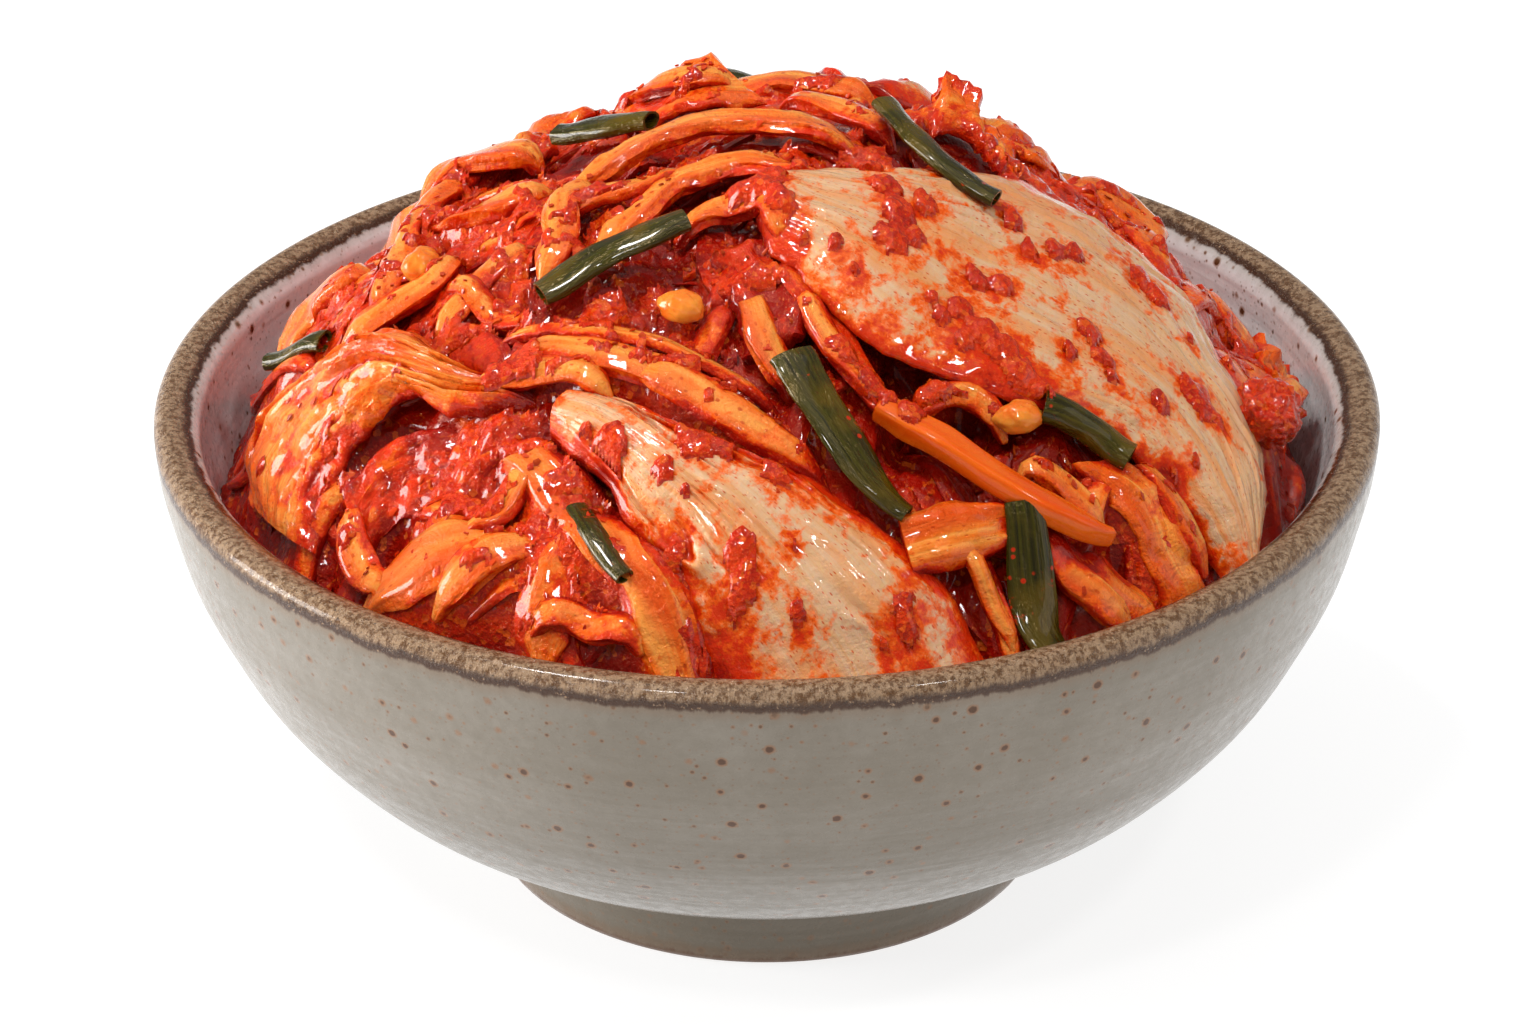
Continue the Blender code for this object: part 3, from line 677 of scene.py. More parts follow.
# What lies over everything else, after the small cuts of MORE.
TOP = [
    ("leaf_crest", between, [(14, 14, 99), (20, 17, 99), (24, 19, 103), (29, 15, 97), (33, 8, 93)],
     [(15, 9, 99), (20, 9, 99), (25, 10, 98), (29, 7, 96), (32, 1, 93)], 1.8,
     dict(LEAF, ruffle=(2.0, 3.0), tone=0.5)),
    ("strip_crest", rope, [(-45, 20, 86), (-41, 22, 88), (-35, 20, 91), (-30, 17, 93)], [4, 5, 4], 3.4, {}),
    ("strip_back_1", rope, [(-12, 34), (2, 36), (14, 30)], [4, 5, 4], 3, {}),
    ("carrot_strip", rope, [(14, -42, 85), (22, -46, 83), (27, -48, 80), (33, -50, 77), (38, -50, 74),
                            (42, -49, 71)],
     [4, 4.2, 4.2, 4, 3.2], 3.2,
     dict(kind="carrot", square=0.5, grooves=(0.0, 4), lumps=0.04, taper=(0.9, 0.45), wander=0.1,
          stiff=40, dive=0)),
    ("scallion_1", rope, [(-28, -25, 92), (-21, -22, 96), (-16, -21, 98), (-10, -19, 100)],
     [4.8, 5, 5, 4.8], 2.4, GREEN),
    ("scallion_2", rope, [(-27, 17, 95), (-22, 13, 98), (-15, 9, 101)], [4, 4.5, 4], 2.4, GREEN),
    ("scallion_3", rope, [(15, 7, 104), (18, 1, 103), (21, -4, 102), (25, -8, 100), (29, -10, 98)],
     [3.4, 3.6, 3.6, 3.4], 2.0, GREEN),
    ("scallion_4", rope, [(3, -39, 91), (6, -44, 88), (10, -49, 84), (13, -52, 80), (17, -54, 76)],
     [6.6, 6.4, 6, 5, 3.6], 1.8, GREEN),
    ("scallion_5", rope, [(34, -37, 84), (38, -37, 82), (42, -37, 79), (45, -38, 76)], [4.4, 4.8, 4.6, 4],
     3.6, GREEN),
    ("scallion_6", rope, [(-23, -51, 76), (-21, -56, 73), (-19, -60, 70), (-17, -63, 67)],
     [3, 3.4, 3.2, 2.4], 1.6, GREEN),
    ("scallion_7", rope, [(31, -51, 71), (32, -55, 68), (33, -58, 64), (35, -60, 60)], [5, 5.6, 5.4, 5],
     1.8, GREEN),
    ("scallion_8", rope, [(-65, -1, 67), (-61, -3, 71), (-57, -6, 74)], [3.2, 3.6, 3.2], 2.2, GREEN),
    ("scallion_9", rope, [(-8, 44), (4, 47)], [5, 5], 2.4, GREEN),
]
# Cuts too small to be in the CAD model: where each goes, its widths, its thickness and its tone.
MORE = [
    ([(-33, -25, 87), (-29, -27, 88), (-24, -29, 89), (-14, -34, 90), (-5, -39, 88), (1, -42, 86)],
     [1.8, 2.2, 2.2, 1.8], 2.0, 0.1),
    ([(-36, -33, 83), (-30, -34, 85), (-25, -36, 87), (-19, -40, 86)], [2.6, 3.2, 3.0, 2.4], 2.6, -0.35),
    ([(4, -28, 93), (6, -32, 91), (9, -37, 88), (14, -42, 84)], [2.2, 2.6, 2.2], 2.2, 0.0),
    ([(-27, -7, 95), (-21, -6, 97), (-16, -6, 98), (-10, -4, 100)], [2.4, 3, 2.6], 2.6, 0.1),
    ([(-28, -17, 92), (-26, -12, 94), (-26, -6, 95), (-22, -2, 97)], [3, 3.6, 3], 3.0, 0.05),
    ([(-50, -11, 81), (-48, -2, 84), (-46, 8, 86), (-42, 17, 87), (-36, 24, 88)], [3, 3.6, 3.6, 3], 3.0,
     0.1),
    ([(-54, -11, 79), (-48, -10, 83), (-43, -9, 86), (-40, -5, 89)], [3, 3.6, 3], 2.8, 0.0),
    ([(-11, -16, 97), (-5, -14, 99), (0, -16, 98), (2, -22, 95)], [3, 3.4, 3], 2.6, 0.0),
    ([(-37, -49, 69), (-32, -48, 73), (-29, -44, 76)], [2.6, 3, 2.6], 2.4, -0.1),
    ([(-28, -62, 60), (-24, -62, 63), (-20, -64, 62), (-15, -67, 60)], [3, 4, 3], 2.6, 0.3),
    ([(-52, -36, 68), (-51, -41, 65), (-49, -46, 62), (-47, -49, 60)], [2.6, 3.6, 3], 2.4, 0.1),
    ([(24, -55, 68), (27, -58, 64), (30, -61, 60)], [2, 2.2, 2], 2.0, 0.0),
    ([(33, -50, 71), (39, -53, 65), (44, -54, 60)], [3, 4, 3.6], 3.0, 0.0),
    ([(31, -44, 79), (36, -44, 76), (41, -46, 71)], [3, 4, 3], 2.6, -0.1),
    ([(18, -40, 84), (22, -37, 84), (26, -37, 83), (29, -39, 81)], [2.4, 3, 2.6], 2.6, 0.0),
    ([(-2, -28, 92), (0, -35, 90), (3, -40, 87)], [3, 3.6, 3], 2.4, -0.4),
    ([(66, -4, 66), (69, 2, 64), (70, 8, 62)], [2.6, 3, 2.6], 2.6, 0.0),
    ([(45, -36, 75), (50, -39, 71), (54, -43, 64)], [3, 3.4, 3], 2.6, 0.1),
    ([(-40, -12, 85), (-34, -20, 85), (-28, -24, 87)], [2.4, 3, 2.4], 2.6, 0.2),
    ([(-20, 28, 93), (-12, 22, 99), (-4, 20, 100)], [3, 3.4, 3], 2.6, 0.2),
    ([(2, 16, 101), (9, 12, 101), (16, 4, 101)], [2.6, 3, 2.6], 2.6, 0.3),
]
# Small round pieces: the middle, the half sizes and how far each is turned.
NUTS = {
    "nut_1": ((-44, -5, 85.5), (2.7, 2.6, 2.4), 0.3),
    "nut_2": ((-10.5, -30, 92), (3.2, 2.1, 2.0), -0.5),
    "nut_3": ((31, -38.5, 81), (3.2, 2.2, 2.0), 0.2),
}
# Lumps of paste that stand on the two large ribs and over a few cut ends: x, y, radius.
BLOBS = [
    (-19.4, -48.8, 2.4), (-8.0, -49.2, 3.2), (-5.6, -50.0, 2.0), (-12.2, -52.7, 1.2), (1.0, -52.4, 2.0),
    (-11.0, -59.4, 1.4), (-3.2, -60.9, 1.7), (-2.6, -63.0, 1.7), (-3.2, -64.2, 1.3), (-9.8, -55.4, 0.6),
    (3.4, -60.4, 0.6), (16.6, -63.4, 1.4), (17.0, -64.7, 1.5), (14.2, -66.7, 0.8), (3.7, -65.6, 0.8),
    (-18.7, -51.1, 1.3), (-22.1, -46.2, 1.0), (8.5, -24.8, 1.1), (4.5, -23.5, 0.8), (10.9, -27.8, 0.7),
    (20.6, -28.6, 0.9), (21.8, -30.3, 1.2), (26.3, -22.9, 1.5), (29.5, -22.5, 1.6), (33.2, -14.5, 1.4),
    (36.4, -12.3, 1.7), (39.1, -11.3, 1.3), (47.7, -7.2, 1.5), (50.2, -8.9, 1.5), (40.4, -23.5, 1.6),
    (37.7, -28.2, 1.1), (42.2, -26.5, 1.3), (43.1, -28.8, 1.1), (49.2, -28.5, 1.5), (54.4, -22.7, 1.9),
    (55.2, -24.2, 1.6), (56.8, -24.5, 0.9), (50.8, -34.7, 0.7), (53.6, -32.8, 0.6), (54.0, -12.5, 0.7),
    (23.9, -28.5, 1.8), (27.0, -30.6, 2.2), (29.4, -32.3, 2.2), (31.9, -34.4, 2.2), (33.7, -36.1, 1.8),
    (24.5, -32.5, 1.4), (14.9, -13.4, 2.0), (16.7, -17.5, 2.2), (16.0, -21.9, 2.2), (19.9, -14.7, 1.8),
    (18.5, -20.4, 1.6), (6.8, -6.6, 1.8), (9.9, -6.8, 1.8), (4.2, -9.0, 1.4), (13.1, -8.8, 1.5),
    (31.0, -10.1, 1.6), (53.1, 4.6, 1.5), (-31.5, -34.5, 3.0), (-0.5, -13.5, 3.0), (2.0, -18.5, 2.2),
    (13.5, -41.0, 2.8), (17.5, -43.5, 1.8),
]
# Hollows left in the heap: x, y, radius, depth.
HOLLOWS = [(20, -32, 9, 11), (-46, -36, 7, 8), (22, -60, 7, 4), (66, -24, 8, 5), (-66, -22, 7, 4)]


def lay_rows(pile, rows, first):
    """Lay each named piece in turn and return name -> shape."""
    made = {}
    for k, (name, maker, places, widths, thick, more) in enumerate(rows):
        made[name] = maker(pile, places, widths, thick, first + k, **more)
    return made


# ---------------------------------------------------------------- paste

def disc_grid(count):
    """A square grid squeezed onto the unit disc with cells of even size."""
    a, b = np.meshgrid(np.linspace(-1, 1, count), np.linspace(-1, 1, count), indexing="ij")
    wide = np.abs(a) > np.abs(b)
    radius = np.where(wide, a, b)
    turn = np.where(
        wide,
        math.pi / 4 * b / np.where(a == 0, 1, a),
        math.pi / 2 - math.pi / 4 * a / np.where(b == 0, 1, b),
    )
    return radius * np.cos(turn), radius * np.sin(turn)


def grain(x, y):
    """The crumbs of ground chilli in the paste."""
    coarse = np.abs(fbm(x / 3.1, y / 3.1, 0.5, 2, 1))
    fine = np.abs(fbm(x / 1.3, y / 1.3, 4.5, 2, 4))
    return 1.3 * coarse + 0.75 * fine


def paste_core(pile, lower_top):
    """The paste that fills the bowl and settles between the pieces: one closed solid."""
    count = CORE_GRID
    x, y = disc_grid(count)
    settled = pile.blurred(lower_top, 1.3)
    x, y = x * (HEAP_RADIUS + 2.5), y * (HEAP_RADIUS + 2.5)
    z = pile.at(settled, x, y) - CORE_SINK + 0.9 * fbm(x / 9, y / 9, 2.5, 2) + grain(x, y)
    limit = inner_radius(z) - 0.05
    scale = np.minimum(1, limit / np.maximum(np.hypot(x, y), 1e-6))
    x, y = x * scale, y * scale
    points = [np.stack([x, y, z], -1).reshape(-1, 3)]
    faces = [grid_faces(count, count)]
    ids = np.arange(count * count).reshape(count, count)
    ring = np.concatenate([ids[0, :-1], ids[:-1, -1], ids[-1, :0:-1], ids[:0:-1, 0]])
    edge = points[0][ring]
    previous = ring
    start = count * count
    for fall in CORE_SKIRT:
        height = edge[:, 2] + (CORE_BASE_Z - edge[:, 2]) * fall
        radius = inner_radius(height) - WALL_GAP
        turn = np.arctan2(edge[:, 1], edge[:, 0])
        points.append(np.column_stack([radius * np.cos(turn), radius * np.sin(turn), height]))
        current = start + np.arange(len(ring))
        start += len(ring)
        faces.append(np.stack([previous, np.roll(previous, -1), np.roll(current, -1), current], -1))
        previous = current
    points.append(np.array([[0, 0, CORE_BASE_Z]]))
    hub = np.full(len(ring), start)
    faces.append(np.stack([previous, np.roll(previous, -1), hub, hub], -1))
    points = np.concatenate(points)
    return Shape("paste", points, np.concatenate(faces), points.copy(), 1.0)


def paste_patches(pile, amount):
    """Paste smeared on top of the pieces, thick where amount is high: one closed skin to each patch."""
    x, y = pile.x, pile.y
    rough = 0.75 * fbm(x / 6.5, y / 6.5, 1.5, 2, 3) + 0.55 * fbm(x / 2.4, y / 2.4, 8.5, 2, 5)
    thick = amount + rough
    for bx, by, radius in BLOBS:
        way = np.hypot(x - bx, y - by) / radius * (1 + 0.35 * fbm(x / 1.5, y / 1.5, 2.5, 2, 5))
        thick = np.maximum(thick, BLOB_SWELL * (1 - way**2))
    surface = pile.blurred(pile.top, 0.35)
    steep = np.hypot(*np.gradient(pile.top, pile.CELL)) > STEEPEST
    use = (thick > -SMEAR_EDGE) & ~steep & (np.hypot(x, y) < HEAP_RADIUS - 2)
    swell = np.clip(thick + SMEAR_EDGE, 0, 0.9) ** 0.6
    height = surface - 0.15 + 1.05 * swell + 0.4 * grain(x, y) * smoothstep(0.0, 0.35, thick)
    keep = use[:-1, :-1] & use[1:, :-1] & use[1:, 1:] & use[:-1, 1:]
    index = np.arange(x.size).reshape(x.shape)
    corners = (index[:-1, :-1], index[1:, :-1], index[1:, 1:], index[:-1, 1:])
    quads = np.stack([corner[keep] for corner in corners], -1)
    return close_below(quads, np.stack([x, y, height], -1).reshape(-1, 3), SMEAR_DEPTH)


def close_below(quads, points, depth):
    """Close an open height field with a copy of itself lowered by depth."""
    used, faces = np.unique(quads, return_inverse=True)
    faces = faces.reshape(-1, 4)
    top = points[used]
    count = len(top)
    edges = np.concatenate([faces[:, [k, (k + 1) % 4]] for k in range(4)])
    key = edges[:, 0].astype(np.int64) * count + edges[:, 1]
    back = edges[:, 1].astype(np.int64) * count + edges[:, 0]
    border = edges[~np.isin(key, back)]
    rim = np.stack([border[:, 1], border[:, 0], border[:, 0] + count, border[:, 1] + count], -1)
    low = top - [0, 0, depth]
    both = np.concatenate([top, low])
    return Shape("paste", both, np.concatenate([faces, faces[:, ::-1] + count, rim]), both.copy(), 1.0)


def flakes(pile, surface, where, count):
    """Flakes of dried chilli, each a thin five-sided chip lying on the surface."""
    draw = np.random.default_rng(5)
    slope = np.gradient(surface, pile.CELL)
    points, faces, tone = [], [], []
    for _ in range(count):
        r, a = SCATTER_RADIUS * math.sqrt(draw.uniform()), draw.uniform(0, 2 * math.pi)
        x, y = r * math.cos(a), r * math.sin(a)
        z = float(pile.at(surface, x, y))
        gx, gy = float(pile.at(slope[0], x, y)), float(pile.at(slope[1], x, y))
        if math.hypot(gx, gy) > 2.0 or float(pile.at(where, x, y)) < -0.6:
            continue
        size = draw.uniform(0.25, 0.6)
        turn = np.linspace(0, 2 * math.pi, 6)[:-1] + draw.uniform(-0.4, 0.4, 5)
        reach = size * draw.uniform(0.6, 1.1, 5)
        px, py = reach * np.cos(turn), reach * np.sin(turn) * draw.uniform(0.5, 1)
        tilt = draw.normal(0, 0.35, 2)
        rise = px * (gx + tilt[0]) + py * (gy + tilt[1])
        chip = np.column_stack([x + px, y + py, z + rise + 0.22])
        start = len(points) * 10
        points.append(np.concatenate([chip, chip - [0, 0, FLAKE_THICK]]))
        ring = np.arange(5)
        faces += [tuple(start + ring), tuple(start + 9 - ring)]
        for a1, a2 in zip(ring, (ring + 1) % 5):
            faces.append((start + a2, start + a1, start + a1 + 5, start + a2 + 5))
        tone.append(np.full(10, draw.uniform()))
    points = np.concatenate(points)
    made = Shape("flake", points, faces, points.copy())
    made.tone = np.concatenate(tone)
    return made


# ---------------------------------------------------------------- meshes

def make_object(name, shape, finish, body="root"):
    """A mesh object in metres with the attributes its material reads."""
    mesh = bpy.data.meshes.new(name)
    faces = shape.faces
    if isinstance(faces, np.ndarray):
        faces = [tuple(dict.fromkeys(face)) for face in faces.tolist()]
        faces = [face for face in faces if len(face) > 2]
    mesh.from_pydata((shape.points * MM).tolist(), [], faces)
    mesh.attributes.new("tone", "FLOAT", "POINT").data.foreach_set("value", shape.tone.astype(np.float32))
    route = mesh.attributes.new("route", "FLOAT_VECTOR", "POINT")
    route.data.foreach_set("vector", shape.route.astype(np.float32).ravel())
    mesh.materials.append(finish)
    mesh.shade_smooth()
    mesh.set_sharp_from_angle(angle=math.radians(62))
    made = bpy.data.objects.new(name, mesh)
    bpy.context.scene.collection.objects.link(made)
    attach(made, body)
    return made


def join(shapes, kind):
    """Several shapes as one."""
    points, faces, route, tone, start = [], [], [], [], 0
    for shape in shapes:
        points.append(shape.points)
        faces.append(shape.faces + start)
        route.append(shape.route)
        tone.append(shape.tone)
        start += len(shape.points)
    made = Shape(kind, np.concatenate(points), np.concatenate(faces), np.concatenate(route))
    made.tone = np.concatenate(tone)
    return made


def ball(middle, half, turned, seed, lumps, fine=28, crumbs=0.0):
    """A lumpy ellipsoid."""
    turn = np.linspace(0, 2 * math.pi, fine * 2, endpoint=False)[None]
    rise = np.linspace(-math.pi / 2, math.pi / 2, fine)[:, None]
    way = np.stack([np.cos(rise) * np.cos(turn), np.cos(rise) * np.sin(turn), np.sin(rise) + 0 * turn], -1)
    swell = 1 + lumps * fbm(way[..., 0] * 1.6 + seed, way[..., 1] * 1.6, way[..., 2] * 1.6, 3)
    local = way * half * swell[..., None]
    local = local + way * (crumbs * np.abs(fbm(*(local[..., k] / 1.3 for k in range(3)), 2, 4)))[..., None]
    x = local[..., 0] * math.cos(turned) - local[..., 1] * math.sin(turned)
    y = local[..., 0] * math.sin(turned) + local[..., 1] * math.cos(turned)
    points = keep_inside((np.array(middle) + np.stack([x, y, local[..., 2]], -1)).reshape(-1, 3))
    faces = grid_faces(fine, fine * 2, 0, loop=True)[:, ::-1]
    points[: fine * 2] = points[: fine * 2].mean(0)
    points[-fine * 2:] = points[-fine * 2:].mean(0)
    return Shape("nut", points, merge_poles(faces, fine), way.reshape(-1, 3) * 4, 0.0)


def merge_poles(faces, fine):
    """Make every corner at a pole the same point."""
    first = fine * 2
    last = (fine - 1) * fine * 2
    faces = faces.copy()
    faces[faces < first] = 0
    faces[faces >= last] = last
    return faces


# ---------------------------------------------------------------- materials

class Nodes:
    """A short way to write a shader's nodes."""

    def __init__(self, name):
        self.material = bpy.data.materials.new(name)
        self.material.use_nodes = True
        self.tree = self.material.node_tree
        self.shader = self.tree.nodes["Principled BSDF"]

    def add(self, kind, values=(), **settings):
        node = self.tree.nodes.new(kind)
        for key, value in settings.items():
            setattr(node, key, value)
        for key, value in dict(values).items():
            if isinstance(value, bpy.types.NodeSocket):
                self.tree.links.new(value, node.inputs[key])
            else:
                node.inputs[key].default_value = value
        return node

    def math(self, operation, a, b=0.0, clamp=False):
        return self.add("ShaderNodeMath", {0: a, 1: b}, operation=operation, use_clamp=clamp).outputs[0]

    def ramp(self, value, low, high, to_low=0.0, to_high=1.0):
        """Smoothly from to_low to to_high as value goes from low to high."""
        values = {"Value": value, "From Min": low, "From Max": high, "To Min": to_low, "To Max": to_high}
        return self.add("ShaderNodeMapRange", values, interpolation_type="SMOOTHSTEP").outputs["Result"]

    def mix(self, factor, a, b, mode="MIX"):
        node = self.add("ShaderNodeMix", data_type="RGBA", blend_type=mode)
        node.clamp_factor = True
        for index, value in ((0, factor), (6, a), (7, b)):
            if isinstance(value, bpy.types.NodeSocket):
                self.tree.links.new(value, node.inputs[index])
            else:
                node.inputs[index].default_value = (*value, 1) if isinstance(value, tuple) else value
        return node.outputs[2]

    def place(self, scale=1000.0, stretch=(1, 1, 1), attribute=None):
        """Where a point is, in millimetres, or an attribute's value, times stretch."""
        if attribute:
            source = self.add("ShaderNodeAttribute", attribute_name=attribute).outputs["Vector"]
            scale = 1.0
        else:
            source = self.add("ShaderNodeTexCoord").outputs["Object"]
        node = self.add("ShaderNodeMapping", {"Vector": source, "Scale": tuple(scale * s for s in stretch)})
        return node.outputs["Vector"]

    def noise(self, place, scale, detail=2.0, rough=0.5, distort=0.0):
        values = {"Vector": place, "Scale": scale, "Detail": detail, "Roughness": rough,
                  "Distortion": distort}
        return self.add("ShaderNodeTexNoise", values).outputs["Fac"]

    def cells(self, place, scale):
        return self.add("ShaderNodeTexVoronoi", {"Vector": place, "Scale": scale})

    def tone(self, name="tone"):
        return self.add("ShaderNodeAttribute", attribute_name=name).outputs["Fac"]

    def bump(self, heights):
        """Bumps one over another: (height, strength, depth in millimetres)."""
        normal = None
        for height, strength, depth in heights:
            values = {"Height": height, "Strength": strength, "Distance": depth * MM}
            if normal:
                values["Normal"] = normal
            normal = self.add("ShaderNodeBump", values).outputs["Normal"]
        self.tree.links.new(normal, self.shader.inputs["Normal"])

    def finish(self, colour, roughness, **fixed):
        self.tree.links.new(colour, self.shader.inputs["Base Color"])
        if isinstance(roughness, bpy.types.NodeSocket):
            self.tree.links.new(roughness, self.shader.inputs["Roughness"])
        else:
            self.shader.inputs["Roughness"].default_value = roughness
        for key, value in fixed.items():
            self.shader.inputs[key.replace("_", " ")].default_value = value
        return self.material


def wet(**more):
    """The gloss of a wet piece of food."""
    values = {"Specular_IOR_Level": 0.30, "Specular_Tint": (1.0, 0.45, 0.18, 1), "Coat_Weight": 0.42,
              "Coat_Roughness": 0.035, "Subsurface_Weight": 0.25, "Subsurface_Radius": (1.0, 0.22, 0.05),
              "Subsurface_Scale": 0.0016}
    values.update(more)
    return values


def paste_material():
    n = Nodes("chilli_paste")
    at = n.place()
    cloud = n.noise(at, 0.22, 4, 0.6)
    crumbs = n.cells(at, 1.3)
    fine = n.noise(at, 2.2, 3, 0.6)
    deep = n.mix(n.ramp(cloud, 0.35, 0.65), (0.46, 0.010, 0.0005), (0.62, 0.032, 0.001))
    shade = n.mix(n.ramp(fine, 0.50, 0.75, 0.0, 0.7), deep, (0.76, 0.095, 0.002))
    # Painted shade: the paste darkens towards deep red where its tone says it lies in a hollow.
    shade = n.mix(n.ramp(n.tone(), 0.1, 1.1), shade, (0.26, 0.003, 0.0005))
    pick = n.add("ShaderNodeSeparateColor", {"Color": crumbs.outputs["Color"]}).outputs[0]
    dark = n.ramp(pick, 0.80, 0.84)
    shade = n.mix(n.math("MULTIPLY", dark, 0.5), shade, (0.30, 0.005, 0.001))
    bright = n.ramp(pick, 0.12, 0.08)
    shade = n.mix(n.math("MULTIPLY", bright, 0.5), shade, (0.72, 0.12, 0.008))
    rough = n.ramp(n.noise(at, 0.9, 2), 0.3, 0.7, 0.08, 0.20)
    n.bump([(n.noise(at, 0.9, 3, 0.6), 0.8, 0.7), (crumbs.outputs["Distance"], 0.7, 0.35),
            (fine, 0.6, 0.25),
            (n.noise(at, 4.0, 3), 0.9, 0.10)])
    return n.finish(shade, rough, **wet(Subsurface_Weight=0.10, Coat_Weight=0.50))


def cabbage_material(name, pale, middle, streak, relief, streaks):
    """Wet cabbage: fibres along the piece, pale on the crests and red in the hollows, that red part paste
    stain and part painted shade.
    """
    n = Nodes(name)
    at = n.place()
    fibre = n.noise(n.place(attribute="route", stretch=(0.05, 1.3, 1.0)), 1.0, 3, 0.55)
    broad = n.noise(n.place(attribute="route", stretch=(0.04, 0.22, 0.3)), 1.0, 2, 0.5)
    cloud = n.noise(at, 0.22, 4, 0.65, 0.4)
    small = n.noise(at, 0.8, 3, 0.6, 0.3)
    shade = n.mix(n.ramp(fibre, 0.35, 0.7), pale, middle)
    shade = n.mix(n.math("MULTIPLY", n.ramp(broad, 0.44, 0.64), streaks), shade, streak)
    # The tone darkens the piece towards deep red; in low places it is part paste stain and part painted
    # shade.
    film = n.math("ADD", n.tone(), n.math("MULTIPLY", n.math("SUBTRACT", cloud, 0.48), 1.8))
    film = n.math("ADD", film, n.math("MULTIPLY", n.math("SUBTRACT", small, 0.5), 1.1))
    for low, high, red in ((-0.20, 0.20, RED_ORANGE), (0.08, 0.42, RED), (0.50, 1.0, DEEP_RED)):
        shade = n.mix(n.ramp(film, low, high), shade, red)
    dashes = n.cells(n.place(attribute="route", stretch=(0.75, 1.9, 1.0)), 1.0)
    pick = n.add("ShaderNodeSeparateColor", {"Color": dashes.outputs["Color"]})
    near = n.ramp(dashes.outputs["Distance"], 0.14, 0.30, 1.0, 0.0)
    some = n.ramp(n.math("ADD", pick.outputs[0], n.math("MULTIPLY", film, 0.45)), 0.30, 0.46)
    shade = n.mix(n.math("MULTIPLY", near, n.math("MULTIPLY", some, 0.8)), shade, (0.52, 0.050, 0.003))
    rough = n.ramp(n.noise(at, 0.6, 2), 0.3, 0.7, 0.10, 0.22)
    fine = n.noise(at, 2.4, 3, 0.65)
    n.bump([(fibre, 0.7 * relief, 0.4), (n.noise(at, 0.55, 3, 0.6), 0.9 * relief, 0.8),
            (fine, 0.3 + 0.4 * relief, 0.22), (n.noise(at, 5.0, 2), 0.5, 0.07)])
    return n.finish(shade, rough, **wet())


def carrot_material():
    n = Nodes("carrot")
    at = n.place()
    fibre = n.noise(n.place(attribute="route", stretch=(0.06, 1.2, 1.0)), 1.0, 3, 0.55)
    shade = n.mix(n.ramp(fibre, 0.3, 0.7), (0.76, 0.125, 0.003), (0.68, 0.070, 0.002))
    film = n.ramp(n.math("ADD", n.tone(), n.noise(at, 0.3, 3, 0.6)), 0.75, 1.1)
    shade = n.mix(n.math("MULTIPLY", film, 0.7), shade, (0.52, 0.025, 0.005))
    n.bump([(fibre, 0.5, 0.25), (n.noise(at, 1.4, 3), 0.35, 0.15)])
    return n.finish(shade, n.ramp(n.noise(at, 0.6, 2), 0.3, 0.7, 0.2, 0.35), **wet())


def scallion_material():
    n = Nodes("scallion")
    at = n.place()
    fibre = n.noise(n.place(attribute="route", stretch=(0.04, 2.2, 0.2)), 1.0, 2, 0.5)
    cloud = n.noise(at, 0.15, 2)
    shade = n.mix(n.ramp(fibre, 0.3, 0.7), (0.010, 0.009, 0.0008), (0.042, 0.036, 0.0015))
    shade = n.mix(n.ramp(cloud, 0.45, 0.7), shade, (0.080, 0.050, 0.002))
    crumbs = n.cells(at, 0.8)
    pick = n.add("ShaderNodeSeparateColor", {"Color": crumbs.outputs["Color"]}).outputs[0]
    near = n.ramp(crumbs.outputs["Distance"], 0.2, 0.34, 1.0, 0.0)
    film = n.math("ADD", pick, n.math("MULTIPLY", n.tone(), 0.5))
    shade = n.mix(n.math("MULTIPLY", near, n.ramp(film, 0.72, 0.78)), shade, (0.48, 0.02, 0.002))
    smear = n.math("ADD", n.noise(at, 0.35, 4, 0.7, 0.5), n.math("MULTIPLY", n.tone(), 0.15))
    shade = n.mix(n.ramp(smear, 0.60, 0.72, 0.0, 0.85), shade, (0.40, 0.018, 0.001))
    wrinkle = n.noise(n.place(attribute="route", stretch=(0.30, 0.9, 0.2)), 1.0, 3, 0.6, 0.6)
    n.bump([(wrinkle, 0.9, 0.7), (fibre, 0.6, 0.3), (n.noise(at, 2.0, 3), 0.5, 0.2)])
    rough = n.ramp(n.noise(at, 0.6, 2), 0.3, 0.7, 0.12, 0.26)
    return n.finish(shade, rough, **wet(Specular_Tint=(1.0, 0.72, 0.35, 1), Subsurface_Weight=0.05))


def nut_material():
    n = Nodes("nut")
    at = n.place()
    shade = n.mix(n.ramp(n.noise(at, 0.35, 3), 0.35, 0.7), (0.78, 0.26, 0.03), (0.72, 0.14, 0.01))
    film = n.ramp(n.math("ADD", n.tone(), n.noise(at, 0.7, 3, 0.6)), 0.62, 0.9)
    shade = n.mix(film, shade, (0.55, 0.03, 0.005))
    n.bump([(n.noise(at, 0.8, 3), 0.5, 0.3)])
    return n.finish(shade, n.ramp(n.noise(at, 0.6, 2), 0.3, 0.7, 0.2, 0.35), **wet(Subsurface_Weight=0.3))


def flake_material():
    n = Nodes("chilli_flake")
    at = n.place()
    shade = n.mix(n.tone(), (0.22, 0.008, 0.003), (0.68, 0.035, 0.006))
    shade = n.mix(n.math("MULTIPLY", n.noise(at, 1.5, 2), 0.4), shade, (0.75, 0.12, 0.01))
    n.bump([(n.noise(at, 2.5, 2), 0.5, 0.15)])
    return n.finish(shade, n.ramp(n.noise(at, 0.9, 2), 0.3, 0.7, 0.2, 0.4), **wet(Subsurface_Weight=0.0))


# Specks in the glaze: how many to a millimetre, size, the share of cells without one, strength, colour.
SPECKS = [
    (1.35, 0.24, 0.45, 0.35, (0.10, 0.070, 0.045)),
    (0.62, 0.15, 0.50, 0.85, (0.085, 0.034, 0.010)),
    (0.30, 0.17, 0.10, 1.00, (0.070, 0.022, 0.005)),
]
RUST = (0.25, 0.110, 0.045)


